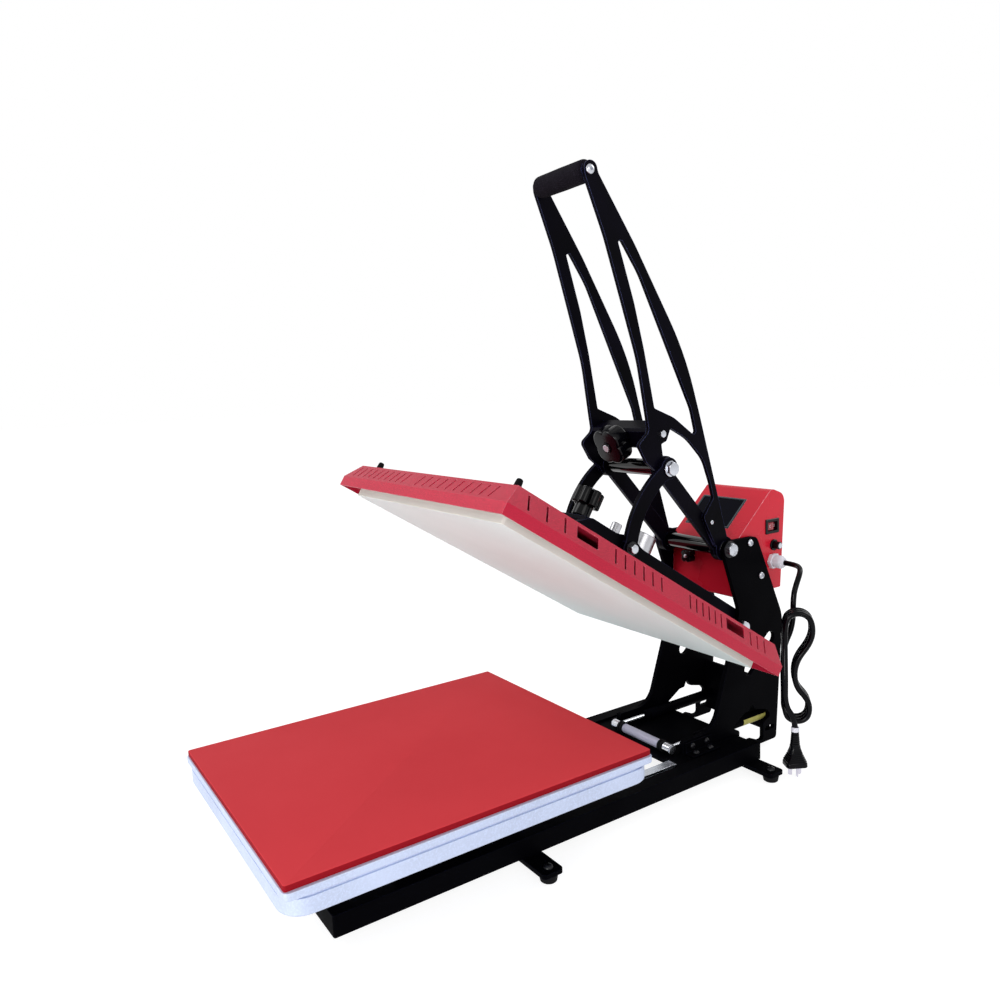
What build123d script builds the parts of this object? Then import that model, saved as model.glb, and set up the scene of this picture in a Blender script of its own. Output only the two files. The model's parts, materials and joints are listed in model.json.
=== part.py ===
from build123d import *
import math
import os

# Slide-out heat press, millimetres. X runs across the press, Y from the operator to the rear, Z up from the
# floor. The drawer is pulled out and the heating head stands open, as the press is loaded.

# Floor, feet and base
rubber_foot_d = 26.0
rubber_foot_h = 11.0
foot_bar_length = 352.0
foot_bar_width = 32.0
foot_bar_t = 6.0
foot_inset = 13.0
base_half_width = 128.0
base_front_y = -397.0
base_rear_y = 338.0
base_h = 28.0
beam_inner_x = 76.0
beam_wall = 3.0
upstand_inner_x = 104.0
front_foot_y = -119.0
cross_bar_t = 10.0
deck_front_y = 179.0
deck_t = 6.0

# Slide rails and drawer
rail_x = 90.0
rail_w = 16.0
rail_h = 10.0
rail_gap = 0.3
block_w = 24.0
block_l = 60.0
block_h = 22.0
block_skirt = 3.0
pad_y = -221.0
pad_w = 400.0
pad_l = 500.0
pad_t = 7.8
pad_corner_r = 3.0
table_over_x = 4.0
table_over_y = 2.0
table_h = 32.2
table_lip_h = 9.0
table_groove_h = 3.0
table_groove_d = 3.5
table_lip_r = 8.0
table_wall_r = 30.0
table_wall_t = 10.0
table_rib_t = 6.0
carriage_h = 48.0
carriage_half_width = 104.0
carriage_sheet = 4.0
carriage_front_y = -371.0
drawer_travel = 226.4
stop_gap = 0.5

# Buffer with its two gas springs
buffer_x = 60.0
buffer_y = 199.0
roller_d = 15.0
roller_half = 42.0
bushing_d = 19.0
bushing_l = 11.0
axle_d = 8.0
spring_rod_d = 8.0
spring_tube_d = 18.0
spring_tube_y = 262.0
spring_bore_depth = 118.0
spring_rod_l = 146.0
axle_gap = 0.5
running_gap = 0.06

# Side plates and what joins them
side_plate_x = 70.0
side_plate_t = 8.0
cross_plate_t = 6.0
cross_plate_y = 428.0
cross_plate_top = 112.0
tail_rear_y = 441.0
tail_bottom = 8.0
toe_h = 22.0

# Four-bar lever: low pivot of the head, main pivot of the lever, upper pivot and link pivot
closing_gap = 0.5
head_tilt = 32.19
low_pivot_u = 348.6
low_pivot_n = 73.7
main_from_low_y = -29.0
main_from_low_z = 135.8
upper_from_main_y = -129.0
upper_from_main_z = 142.0
link_u = 57.3
link_n = 87.7
link_play = 4.4
main_tube_d = 25.0
upper_tube_d = 25.0
journal_d = 16.0
main_bolt_d = 12.0
low_pin_d = 14.0
link_pin_d = 10.0
bolt_head_d = 24.0
bolt_head_h = 7.0
washer_t = 2.0
handle_plate_x = 62.0
handle_plate_t = 6.0
crank_t = 8.0
plate_gap = 0.5
coupler_t = 8.0
coupler_w = 24.0
coupler_sagitta = 16.0
lug_r = 20.0
upper_lug_r = 19.0
link_lug_r = 15.0
grip_from_main_y = -256.0
grip_from_main_z = 564.5
grip_d = 32.0
grip_core_d = 20.0
grip_plate_x = 54.0
bend_above_block = 26.0
block_from_upper_y = -14.0
block_from_upper_z = 52.0
cross_block = 34.0
knob_tilt = 24.0

# Heating head, with u from its centre to the rear and n up from the heating face
heat_plate_t = 12.0
heat_corner_r = 5.0
cover_over_side = 25.0
cover_front = 272.0
cover_rear = 278.5
cover_skirt_n = 5.0
cover_bend_n = 20.0
cover_top_n = 46.0
cover_bevel = 14.4
cover_sheet = 1.6
slot_w = 3.6
slot_l = 21.0
carrier_x = 58.0
carrier_t = 10.0
carrier_n = 50.0
carrier_h = 48.0
carrier_front_u = -60.0
carrier_lug_r = 22.0
carrier_plate_t = 6.0
post_d = 16.0
post_gap = 1.0

# Control box
box_gap = 0.3
box_sheet = 1.5
box_front_from_low_y = -8.0
box_bottom_from_low_z = 49.8
display_w = 96.0
display_h = 66.0
display_t = 4.0
switch_w = 29.0
switch_h = 20.0
fuse_d = 14.0
gland_hex = 24.0
gland_l = 26.0

# Levels that follow from the sizes above
base_bottom = rubber_foot_h + foot_bar_t
base_top = base_bottom + base_h
rail_seat = base_top - rail_h
deck_top = rail_seat + deck_t
block_top = rail_seat + block_skirt + block_h
table_bottom = block_top + carriage_h
pad_bottom = table_bottom + table_h
pad_top = pad_bottom + pad_t
head_y = pad_y + drawer_travel
face_z = pad_top + closing_gap
low_y = head_y + low_pivot_u
low_z = face_z + low_pivot_n
main_y = low_y + main_from_low_y
main_z = low_z + main_from_low_z
upper_y = main_y + upper_from_main_y
upper_z = main_z + upper_from_main_z
grip_y = main_y + grip_from_main_y
grip_z = main_z + grip_from_main_z
block_y = upper_y + block_from_upper_y
block_z = upper_z + block_from_upper_z
handle_bend_z = block_z + bend_above_block
side_plate_out = side_plate_x + side_plate_t
handle_plate_out = handle_plate_x + handle_plate_t
coupler_x = handle_plate_out + plate_gap
coupler_out = coupler_x + coupler_t
crank_x = handle_plate_x - crank_t
rear_foot_y = base_rear_y - foot_bar_width / 2 - 3.0
buffer_z = deck_top + 1.0 + spring_tube_d / 2


def yz(corners, x0, x1):
    """Plate between x0 and x1 whose outline is a list of (y, z, corner radius)."""
    points = [(y, z) for y, z, _ in corners]
    wire = FilletPolyline(*points, radius=[r for _, _, r in corners], close=True)
    face = make_face(Plane.YZ * wire)
    return Pos(x0, 0, 0) * extrude(face, x1 - x0, dir=(1, 0, 0))


def disc(y, z, d, x0, x1):
    """Round bar along X between x0 and x1."""
    return Pos((x0 + x1) / 2, y, z) * Rot(0, 90, 0) * Cylinder(d / 2, abs(x1 - x0))


def rod(x, z, d, y0, y1):
    """Round bar along Y between y0 and y1."""
    return Pos(x, (y0 + y1) / 2, z) * Rot(90, 0, 0) * Cylinder(d / 2, abs(y1 - y0))


def post(x, y, d, z0, z1):
    """Round bar along Z between z0 and z1."""
    return Pos(x, y, (z0 + z1) / 2) * Cylinder(d / 2, abs(z1 - z0))


def block(x0, x1, y0, y1, z0, z1):
    """Box between two opposite corners."""
    return Pos((x0 + x1) / 2, (y0 + y1) / 2, (z0 + z1) / 2) * Box(x1 - x0, y1 - y0, z1 - z0)


def hexagon(y, z, flats, x0, x1):
    """Hexagon bar along X between x0 and x1, measured across its flats."""
    face = Plane.YZ * Pos(y, z) * RegularPolygon(flats / math.sqrt(3), 6)
    return Pos(x0, 0, 0) * extrude(face, x1 - x0, dir=(1, 0, 0))


def mirrored(part):
    """The same piece on the other side of the press."""
    return mirror(part, about=Plane.YZ)


def both(part):
    """A piece and its mirror image, as two separate solids."""
    return Compound(children=[*part.solids(), *mirrored(part).solids()])


def group(*parts):
    """Several separate solids of one node."""
    return Compound(children=[solid for part in parts for solid in part.solids()])


def head(u, n):
    """Point of the closed head, as (y, z)."""
    return head_y + u, face_z + n


def swung(part):
    """Swings a piece of the closed head open about the low pivot."""
    return part.rotate(Axis((0, low_y, low_z), (1, 0, 0)), -head_tilt)


def swung_point(u, n):
    """Point of the open head, as (y, z)."""
    y, z = head(u, n)
    c, s = math.cos(math.radians(head_tilt)), math.sin(math.radians(head_tilt))
    dy, dz = y - low_y, z - low_z
    return low_y + dy * c + dz * s, low_z - dy * s + dz * c


def lobed(lobe_count, lobe_r, pitch_r, core_r, thickness):
    """Lobed knob body standing on the XY plane."""
    shape = Circle(core_r)
    for step in range(lobe_count):
        angle = 2 * math.pi * step / lobe_count
        shape += Pos(pitch_r * math.cos(angle), pitch_r * math.sin(angle)) * Circle(lobe_r)
    return extrude(shape, thickness)


nodes = {}

# Feet and base
bar = Box(foot_bar_length, foot_bar_width, foot_bar_t)
bar = fillet(bar.edges().filter_by(Axis.Z), 6)
bar_z = rubber_foot_h + foot_bar_t / 2
foot_x = foot_bar_length / 2 - foot_inset
foot_bolt_d = 8.0
bar_holes = both(post(foot_x, 0, foot_bolt_d, -20, 20))
bar = bar - bar_holes
nodes["foot_bars"] = group(Pos(0, front_foot_y, bar_z) * bar, Pos(0, rear_foot_y, bar_z) * bar)
feet, foot_bolts = [], []
for y in (front_foot_y, rear_foot_y):
    foot = Pos(foot_x, y, rubber_foot_h / 2) * Cone(rubber_foot_d / 2 - 2, rubber_foot_d / 2, rubber_foot_h)
    feet.append(foot - post(foot_x, y, foot_bolt_d, rubber_foot_h - 6, rubber_foot_h))
    bolt = post(foot_x, y, foot_bolt_d, rubber_foot_h - 6, base_bottom)
    bolt += post(foot_x, y, 13, base_bottom, base_bottom + 5)
    foot_bolts.append(bolt)
nodes["rubber_feet"] = group(*[both(foot) for foot in feet])
nodes["foot_bolts"] = group(*[both(bolt) for bolt in foot_bolts])

beam = block(beam_inner_x, base_half_width, base_front_y, base_rear_y, base_bottom, base_top)
beam -= block(0, upstand_inner_x, base_front_y + 6, base_rear_y, rail_seat, base_top)
inner = block(
    beam_inner_x + beam_wall, base_half_width - beam_wall, base_front_y + 6, base_rear_y,
    base_bottom + beam_wall, rail_seat - beam_wall,
)
inner += block(
    upstand_inner_x + beam_wall, base_half_width - beam_wall, base_front_y + 6, base_rear_y,
    base_bottom + beam_wall, base_top - beam_wall,
)
beam -= inner
front_plate = block(-base_half_width, base_half_width, base_front_y, base_front_y + 6, base_bottom, base_top)
base = beam + mirrored(beam) + front_plate
for y in (front_foot_y, rear_foot_y):
    half = foot_bar_width / 2
    base += block(-beam_inner_x, beam_inner_x, y - half, y + half, base_bottom, base_bottom + cross_bar_t)
base = fillet(base.edges().filter_by(Axis.Z).group_by(Axis.Y)[0], 3)
nodes["base_frame"] = base

nodes["rear_deck"] = block(
    -upstand_inner_x, upstand_inner_x, deck_front_y, base_rear_y, rail_seat, deck_top
)

rail_section = Plane.XZ * make_face(FilletPolyline(
    (-rail_w / 2, 0), (rail_w / 2, 0), (rail_w / 2, 2.5), (rail_w / 2 - 2.5, 4.5), (rail_w / 2, 6.5),
    (rail_w / 2, rail_h), (-rail_w / 2, rail_h), (-rail_w / 2, 6.5), (-rail_w / 2 + 2.5, 4.5),
    (-rail_w / 2, 2.5), radius=0, close=True,
))
rail_front_y = base_front_y + 26
rail = Pos(rail_x, rail_front_y, rail_seat) * extrude(rail_section, deck_front_y - 1 - rail_front_y, dir=(0, 1, 0))
nodes["slide_rails"] = both(rail)

# Drawer
bearing = block(
    rail_x - block_w / 2, rail_x + block_w / 2, 0, block_l, rail_seat + block_skirt, block_top
)
slot_half = rail_w / 2 + rail_gap
bearing -= block(rail_x - slot_half, rail_x + slot_half, 0, block_l, rail_seat, base_top + rail_gap)
carriage_rear_y = buffer_y - roller_d / 2 - stop_gap - drawer_travel
bearing_ys = (carriage_front_y + 4, carriage_rear_y - block_l - 20)
nodes["bearing_blocks"] = group(*[both(Pos(0, y, 0) * bearing) for y in bearing_ys])

flange_in = rail_x - block_w / 2
channel = block(
    -carriage_half_width, carriage_half_width, carriage_front_y, carriage_rear_y, block_top, table_bottom
)
channel -= block(
    -carriage_half_width + carriage_sheet, carriage_half_width - carriage_sheet,
    carriage_front_y, carriage_rear_y, block_top + carriage_sheet, table_bottom - carriage_sheet,
)
channel -= block(-flange_in, flange_in, carriage_front_y, carriage_rear_y, block_top, block_top + carriage_sheet)
channel += block(
    -40, 40, carriage_rear_y - carriage_sheet, carriage_rear_y, deck_top + 8, table_bottom - carriage_sheet
)
nodes["drawer_carriage"] = channel

table_w = pad_w + 2 * table_over_x
table_l = pad_l + 2 * table_over_y
lip_bottom = pad_bottom - table_lip_h
wall_top = lip_bottom - table_groove_h
table = Pos(0, pad_y, lip_bottom) * extrude(RectangleRounded(table_w, table_l, table_lip_r), table_lip_h)
table += Pos(0, pad_y, wall_top) * extrude(
    RectangleRounded(table_w - 2 * table_groove_d, table_l - 2 * table_groove_d, table_wall_r), table_groove_h
)
wall = extrude(RectangleRounded(table_w - 1, table_l - 1, table_wall_r), wall_top - table_bottom)
wall = chamfer(wall.faces().sort_by(Axis.Z)[0].edges(), 2)
table += Pos(0, pad_y, table_bottom) * wall
hollow_w = table_w - 2 * table_wall_t
hollow_l = table_l - 2 * table_wall_t
cells_x, cells_y = 6, 7
cell_w = (hollow_w - (cells_x - 1) * table_rib_t) / cells_x
cell_l = (hollow_l - (cells_y - 1) * table_rib_t) / cells_y
hollow_top = lip_bottom
corner_cut = table_wall_r * 0.3
for i in range(cells_x):
    for j in range(cells_y):
        x0 = -hollow_w / 2 + i * (cell_w + table_rib_t)
        y0 = pad_y - hollow_l / 2 + j * (cell_l + table_rib_t)
        w0, l0 = (corner_cut if i == 0 else 0), (corner_cut if j == 0 else 0)
        w1, l1 = (corner_cut if i == cells_x - 1 else 0), (corner_cut if j == cells_y - 1 else 0)
        table -= block(x0 + w0, x0 + cell_w - w1, y0 + l0, y0 + cell_l - l1, table_bottom, hollow_top)
nodes["lower_table"] = table

nodes["silicone_pad"] = Pos(0, pad_y, pad_bottom) * extrude(
    RectangleRounded(pad_w, pad_l, pad_corner_r), pad_t
)

# Buffer
roller = disc(buffer_y, buffer_z, roller_d, -roller_half, roller_half)
roller -= disc(buffer_y, buffer_z, axle_d, -roller_half, roller_half)
nodes["buffer_roller"] = roller
bushing = disc(buffer_y, buffer_z, bushing_d, roller_half, roller_half + bushing_l)
bushing -= disc(buffer_y, buffer_z, axle_d, roller_half, roller_half + bushing_l)
nodes["buffer_bushings"] = both(bushing)
eye_in = roller_half + bushing_l
eye_out = 2 * buffer_x - eye_in
axle = disc(buffer_y, buffer_z, axle_d, -eye_out, eye_out)
axle_head = hexagon(buffer_y, buffer_z, 13, eye_out, side_plate_x - axle_gap)
nodes["buffer_bolt"] = axle + axle_head + mirrored(axle_head)
spring_rod = rod(buffer_x, buffer_z, spring_rod_d, buffer_y, buffer_y + spring_rod_l)
spring_rod += disc(buffer_y, buffer_z, 2 * spring_rod_d, eye_in, eye_out)
spring_rod -= disc(buffer_y, buffer_z, axle_d, eye_in, eye_out)
nodes["gas_spring_rods"] = both(spring_rod)
spring_tube = rod(buffer_x, buffer_z, spring_tube_d, spring_tube_y, cross_plate_y)
spring_tube += rod(buffer_x, buffer_z, spring_rod_d, cross_plate_y, cross_plate_y + cross_plate_t + 6)
spring_tube -= rod(
    buffer_x, buffer_z, spring_rod_d + 2 * running_gap, spring_tube_y, spring_tube_y + spring_bore_depth
)
nodes["gas_spring_cylinders"] = both(spring_tube)

# Side plates
side_outline = [
    (main_y - lug_r, main_z + 14, 16), (main_y + 66, main_z + 13, 14), (low_y + 103, low_z + 3, 60),
    (tail_rear_y, tail_bottom, 6), (base_rear_y + 1.3, tail_bottom, 4), (base_rear_y + 1.3, deck_top, 0),
    (low_y - 140, deck_top, 0), (low_y - 140, deck_top + toe_h, 5), (low_y - 70, deck_top + toe_h, 40),
    (low_y - 5, low_z + 27, 30),
]
window_outline = [
    (-26, 14, 3), (5, 32, 4), (17, 33, 3), (23, 46, 2), (33, 32, 3), (62, 25, 5), (73, 12, 5),
    (53, 2, 6), (53, -27, 5), (43, -27, 4), (25, -19, 6), (3, -27, 4), (-9, -25, 4), (-7, 4, 6),
]
side = yz(side_outline, side_plate_x, side_plate_out)
side -= yz([(low_y + y, deck_top + z, r) for y, z, r in window_outline], side_plate_x, side_plate_out)
slant = Plane.YZ * Pos(low_y + 44, low_z - 53) * Rot(0, 0, 39) * SlotOverall(92, 22)
side -= Pos(side_plate_x, 0, 0) * extrude(slant, side_plate_t, dir=(1, 0, 0))
small_slot = Plane.YZ * Pos(tail_rear_y - 17, deck_top - 10) * SlotOverall(24, 8)
side -= Pos(side_plate_x, 0, 0) * extrude(small_slot, side_plate_t, dir=(1, 0, 0))
side -= disc(main_y, main_z, main_bolt_d, side_plate_x, side_plate_out)
side -= disc(low_y, low_z, low_pin_d, side_plate_x, side_plate_out)
box_bolt_d = 6.0
box_bolt_points = [(main_y + 49, main_z + 4), (main_y + 76.6, main_z - 55)]
for y, z in box_bolt_points:
    side -= disc(y, z, box_bolt_d, side_plate_x, side_plate_out)
nodes["side_plate_right"] = side
nodes["side_plate_left"] = mirrored(side)

nodes["rear_cross_plate"] = block(
    -side_plate_x, side_plate_x, cross_plate_y, cross_plate_y + cross_plate_t, base_bottom + 4, cross_plate_top
)
for x in (-buffer_x, buffer_x):
    nodes["rear_cross_plate"] -= rod(x, buffer_z, spring_rod_d, cross_plate_y, cross_plate_y + cross_plate_t)

angle_l, angle_leg, angle_t = 60.0, 20.0, 4.0
angle_y = low_y - 138
angle = block(side_plate_out, side_plate_out + angle_leg, angle_y, angle_y + angle_l, deck_top, deck_top + angle_t)
angle += block(side_plate_out, side_plate_out + angle_t, angle_y, angle_y + angle_l, deck_top, deck_top + angle_leg)
nodes["foot_angles"] = both(angle)
angle_bolts = []
for y in (angle_y + 14, angle_y + angle_l - 14):
    angle_bolts.append(post(side_plate_out + 12.5, y, 10, deck_top + angle_t, deck_top + angle_t + 4))
    angle_bolts.append(disc(y, deck_top + 13, 10, side_plate_out + angle_t, side_plate_out + angle_t + 4))
nodes["angle_bolts"] = group(*[both(bolt) for bolt in angle_bolts])

# Main pivot on the side plates
main_tube = disc(main_y, main_z, main_tube_d, -side_plate_x, side_plate_x)
main_tube -= disc(main_y, main_z, main_bolt_d, -side_plate_x, side_plate_x)
nodes["main_pivot_tube"] = main_tube
main_bolt = disc(main_y, main_z, main_bolt_d, side_plate_x - 25, side_plate_out)
main_bolt += disc(main_y, main_z, bolt_head_d + 3, side_plate_out, side_plate_out + washer_t)
main_bolt += hexagon(main_y, main_z, 19, side_plate_out + washer_t, side_plate_out + washer_t + bolt_head_h)
nodes["main_pivot_bolts"] = both(main_bolt)
low_pin = disc(low_y, low_z, low_pin_d, carrier_x - 2, side_plate_out)
low_pin += hexagon(low_y, low_z, 22, side_plate_out, side_plate_out + bolt_head_h)
nodes["low_pivot_pins"] = both(low_pin)

# Lever plates: flat round the pivots, leaning in towards the grip above the bend
handle_outline = [
    (grip_y - 10.2, grip_z + 12.8, 11.2), (grip_y + 12.8, grip_z + 12.8, 11.2), (grip_y + 14.5, grip_z - 2, 20),
    (grip_y + 79, grip_z - 96.5, 300), (main_y - 83.2, main_z + 313.8, 450), (main_y + 10.9, main_z, 0),
    (main_y - 22, main_z + 8, 0), (main_y - 48, main_z + 57, 6), (main_y - 25, main_z + 85, 8),
    (main_y - 32, main_z + 111, 80), (main_y - 47, main_z + 149, 60), (main_y - 82, main_z + 183.5, 80),
    (upper_y + 11, upper_z + 60, 3), (upper_y + 2.5, upper_z + 41.5, 5), (upper_y - 8.5, upper_z + 37.5, 3),
    (upper_y - 5, upper_z + 14, 0), (upper_y - 2, upper_z, 0), (upper_y - 20, upper_z - 3, 0),
    (upper_y - 38.4, upper_z + 11.4, 6), (upper_y - 55, upper_z + 39, 8), (upper_y - 32.5, upper_z + 57, 12),
    (upper_y - 49.4, upper_z + 163.2, 250), (grip_y + 23.7, grip_z - 86.6, 300), (grip_y - 8.5, grip_z - 7, 20),
]
slot_outline = [
    (grip_y + 46, grip_z - 91.5, 3.5), (upper_y - 54, upper_z + 245, 200), (upper_y - 38, upper_z + 178, 250),
    (upper_y - 21.2, upper_z + 91.6, 4), (upper_y + 19, upper_z + 75.5, 60), (upper_y + 68.8, upper_z + 41, 5),
    (upper_y + 56.5, upper_z + 87.5, 60), (upper_y - 40.5, upper_z + 286, 150), (grip_y + 55, grip_z - 91.5, 3.5),
]
sheet_reach = grip_z + 60 - handle_bend_z
lean = (handle_plate_x - grip_plate_x) * sheet_reach / (grip_z - handle_bend_z)
bent_sheet = Plane.XZ * make_face(Polyline(
    (handle_plate_x, upper_z - 220), (handle_plate_out, upper_z - 220), (handle_plate_out, handle_bend_z),
    (handle_plate_out - lean, handle_bend_z + sheet_reach), (handle_plate_x - lean, handle_bend_z + sheet_reach),
    (handle_plate_x, handle_bend_z), close=True,
))
bent_sheet = Pos(0, -200, 0) * extrude(bent_sheet, 700, dir=(0, 1, 0))
lever = yz(handle_outline, 0, handle_plate_out + 5)
lever -= yz(slot_outline, 0, handle_plate_out + 5)
lever += disc(main_y, main_z, 2 * lug_r, 0, handle_plate_out + 5)
lever += disc(upper_y, upper_z, 2 * upper_lug_r, 0, handle_plate_out + 5)
lever &= bent_sheet
lever -= disc(main_y, main_z, main_tube_d + 2 * running_gap, 0, handle_plate_out + 5)
lever -= disc(upper_y, upper_z, journal_d, 0, handle_plate_out + 5)
grip_bolt_d = 8.0
lever -= disc(grip_y, grip_z, grip_bolt_d, 0, handle_plate_out + 5)
lever_bolt_d = 4.0
lever_bolt = (main_y - 29.5, main_z + 46.7)
lever -= disc(*lever_bolt, lever_bolt_d, 0, handle_plate_out + 5)
block_bolt_d = 6.0
block_bolt_at = (block_y + 7.0, block_z + 0.5)
lever -= disc(*block_bolt_at, block_bolt_d, 0, handle_plate_out + 5)
nodes["handle_plates"] = both(lever)

# Crank arms between the main and the upper pivot
crank_angle = math.degrees(math.atan2(upper_z - main_z, upper_y - main_y))
crank_l = math.hypot(upper_z - main_z, upper_y - main_y)
crank_shape = Circle(lug_r) + Pos(crank_l, 0) * Circle(upper_lug_r)
crank_shape += Pos(crank_l / 2, 2) * Rectangle(crank_l, 26)
crank_face = Plane.YZ * Pos(main_y, main_z) * Rot(0, 0, crank_angle) * crank_shape
crank = Pos(crank_x, 0, 0) * extrude(crank_face, crank_t, dir=(1, 0, 0))
crank -= disc(main_y, main_z, main_tube_d + 2 * running_gap, crank_x, handle_plate_x)
crank -= disc(upper_y, upper_z, journal_d, crank_x, handle_plate_x)
nodes["crank_arms"] = both(crank)

# Upper pivot: tube between the cranks with journals out to the couplers
upper_tube = disc(upper_y, upper_z, upper_tube_d, -crank_x, crank_x)
upper_tube += disc(upper_y, upper_z, journal_d, -coupler_out - plate_gap, coupler_out + plate_gap)
nodes["upper_pivot_tube"] = upper_tube
upper_end = coupler_out + plate_gap
upper_bolt = disc(upper_y, upper_z, bolt_head_d, upper_end, upper_end + washer_t)
upper_bolt += hexagon(upper_y, upper_z, 19, upper_end + washer_t, upper_end + washer_t + bolt_head_h)
nodes["upper_pivot_bolts"] = both(upper_bolt)

# Coupler arms: curved flat bars from the upper pivot to the link pins of the head
link_y, link_z = swung_point(link_u, link_n)
chord = math.hypot(link_y - upper_y, link_z - upper_z)
arc_r = (chord * chord / 4 + coupler_sagitta * coupler_sagitta) / (2 * coupler_sagitta)
dir_y, dir_z = (link_y - upper_y) / chord, (link_z - upper_z) / chord
arc_y = (link_y + upper_y) / 2 - dir_z * (arc_r - coupler_sagitta)
arc_z = (link_z + upper_z) / 2 + dir_y * (arc_r - coupler_sagitta)
ring = Plane.YZ * Pos(arc_y, arc_z) * (Circle(arc_r + coupler_w / 2) - Circle(arc_r - coupler_w / 2))
sector = Plane.YZ * make_face(Polyline(
    (arc_y, arc_z), (arc_y + 2 * (upper_y - arc_y), arc_z + 2 * (upper_z - arc_z)),
    (arc_y + 2 * (link_y - arc_y), arc_z + 2 * (link_z - arc_z)), close=True,
))
coupler_face = ring & sector
coupler = Pos(coupler_x, 0, 0) * extrude(coupler_face, coupler_t, dir=(1, 0, 0))
coupler += disc(upper_y, upper_z, 2 * upper_lug_r - 4, coupler_x, coupler_out)
coupler += disc(link_y, link_z, 2 * link_lug_r, coupler_x, coupler_out)
coupler -= disc(upper_y, upper_z, journal_d + 2 * running_gap, coupler_x, coupler_out)
coupler -= disc(link_y, link_z, link_pin_d + 2 * link_play, coupler_x, coupler_out)
nodes["coupler_arms"] = both(coupler)

# Cross block with the pressure knob
cross = Box(2 * handle_plate_x, cross_block, cross_block)
cross = chamfer(cross.edges().filter_by(Axis.X), 4)
cross = Pos(0, block_y, block_z) * Rot(knob_tilt, 0, 0) * cross
block_bolt_depth = 20.0
for side_x in (-1, 1):
    inner_x, outer_x = sorted((side_x * (handle_plate_x - block_bolt_depth), side_x * handle_plate_x))
    cross -= disc(*block_bolt_at, block_bolt_d, inner_x, outer_x)
stud_d = 12.0
knob_gap = 0.3
knob_t = 26.0
knob_axis = Location((0, block_y, block_z), (90 + knob_tilt, 0, 0))
knob_from = cross_block / 2
nodes["cross_block"] = cross
stud = Pos(0, 0, knob_from) * Cylinder(stud_d / 2, 4 + knob_t + 3, align=(Align.CENTER, Align.CENTER, Align.MIN))
nodes["pressure_stud"] = knob_axis * stud
knob = Pos(0, 0, knob_from + 4) * Rot(0, 0, 45) * lobed(4, 18.0, 13.0, 22.0, knob_t)
knob = fillet(knob.faces().sort_by(Axis.Z)[-1].edges(), 4)
knob += Pos(0, 0, knob_from + 1) * Cylinder(14, 3, align=(Align.CENTER, Align.CENTER, Align.MIN))
knob -= Pos(0, 0, knob_from) * Cylinder(
    stud_d / 2 + running_gap, knob_t + 10, align=(Align.CENTER, Align.CENTER, Align.MIN)
)
nodes["pressure_knob"] = knob_axis * knob
block_bolt = disc(*block_bolt_at, block_bolt_d, handle_plate_x - block_bolt_depth, handle_plate_out)
block_bolt += hexagon(*block_bolt_at, 10, handle_plate_out, handle_plate_out + 4)
lever_screw = disc(*lever_bolt, lever_bolt_d, handle_plate_x, handle_plate_out)
lever_screw += disc(*lever_bolt, 7, handle_plate_out, handle_plate_out + 1.5)
nodes["lever_bolts"] = group(both(block_bolt), both(lever_screw))

# Grip
core_half = grip_plate_x - 0.3
core = disc(grip_y, grip_z, grip_core_d, -core_half, core_half)
core -= disc(grip_y, grip_z, grip_bolt_d, grip_plate_x - 20, grip_plate_x)
core -= disc(grip_y, grip_z, grip_bolt_d, -grip_plate_x, 20 - grip_plate_x)
nodes["grip_core"] = core
foam = disc(grip_y, grip_z, grip_d, -core_half + 0.7, core_half - 0.7)
foam = fillet(foam.edges().filter_by(GeomType.CIRCLE), 3)
foam -= disc(grip_y, grip_z, grip_core_d, -grip_plate_x, grip_plate_x)
nodes["foam_grip"] = foam
grip_plate_out = grip_plate_x + handle_plate_t + 0.4
grip_bolt = disc(grip_y, grip_z, grip_bolt_d, grip_plate_x - 20, grip_plate_out)
grip_bolt += disc(grip_y, grip_z, 14, grip_plate_out, grip_plate_out + 4)
nodes["grip_bolts"] = both(grip_bolt)

# Heating head, drawn closed and then swung open
plate = Pos(0, head_y, face_z) * extrude(RectangleRounded(pad_w, pad_l, heat_corner_r), heat_plate_t)
cover_w = pad_w + 2 * cover_over_side
cover_l = cover_front + cover_rear
cover_mid_y = head_y + (cover_rear - cover_front) / 2


def cover_body(inset, bottom_n, top_cut):
    """Skirt and bevelled top of the cover, drawn in on every side by inset."""
    skirt = extrude(Rectangle(cover_w - 2 * inset, cover_l - 2 * inset), cover_bend_n - bottom_n)
    rise = cover_top_n - cover_bend_n - top_cut
    draw = cover_bevel * rise / (cover_top_n - cover_bend_n)
    bevel = loft([
        Rectangle(cover_w - 2 * inset, cover_l - 2 * inset),
        Pos(0, 0, rise) * Rectangle(cover_w - 2 * inset - 2 * draw, cover_l - 2 * inset - 2 * draw),
    ])
    body = Pos(0, 0, bottom_n) * skirt + Pos(0, 0, cover_bend_n) * bevel
    return Pos(0, cover_mid_y, face_z) * body


cover = cover_body(0, cover_skirt_n, 0) - cover_body(cover_sheet, cover_skirt_n, cover_sheet)
bevel_angle = math.degrees(math.atan2(cover_bevel, cover_top_n - cover_bend_n))
bevel_mid_n = (cover_bend_n + cover_top_n) / 2
cutter = Box(slot_w, 12, slot_l)
side_cutter = Box(12, slot_w, slot_l)
front_slots = [-200 + 17.8 * i for i in range(10)] + [0 + 20.0 * i for i in range(10)]
cuts = []
for x in front_slots:
    cuts.append(Pos(x, head_y - cover_front + cover_bevel / 2, face_z + bevel_mid_n)
                * Rot(-bevel_angle, 0, 0) * cutter)
side_slots = [-240, -210, -180, -90, -72, -54, -36, -18, 0, 60, 74, 88, 102, 116, 130, 200, 217, 235]
for u in side_slots:
    for side_x in (-1, 1):
        cuts.append(Pos(side_x * (cover_w / 2 - cover_bevel / 2), head_y + u, face_z + bevel_mid_n)
                    * Rot(0, -side_x * bevel_angle, 0) * side_cutter)
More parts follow.
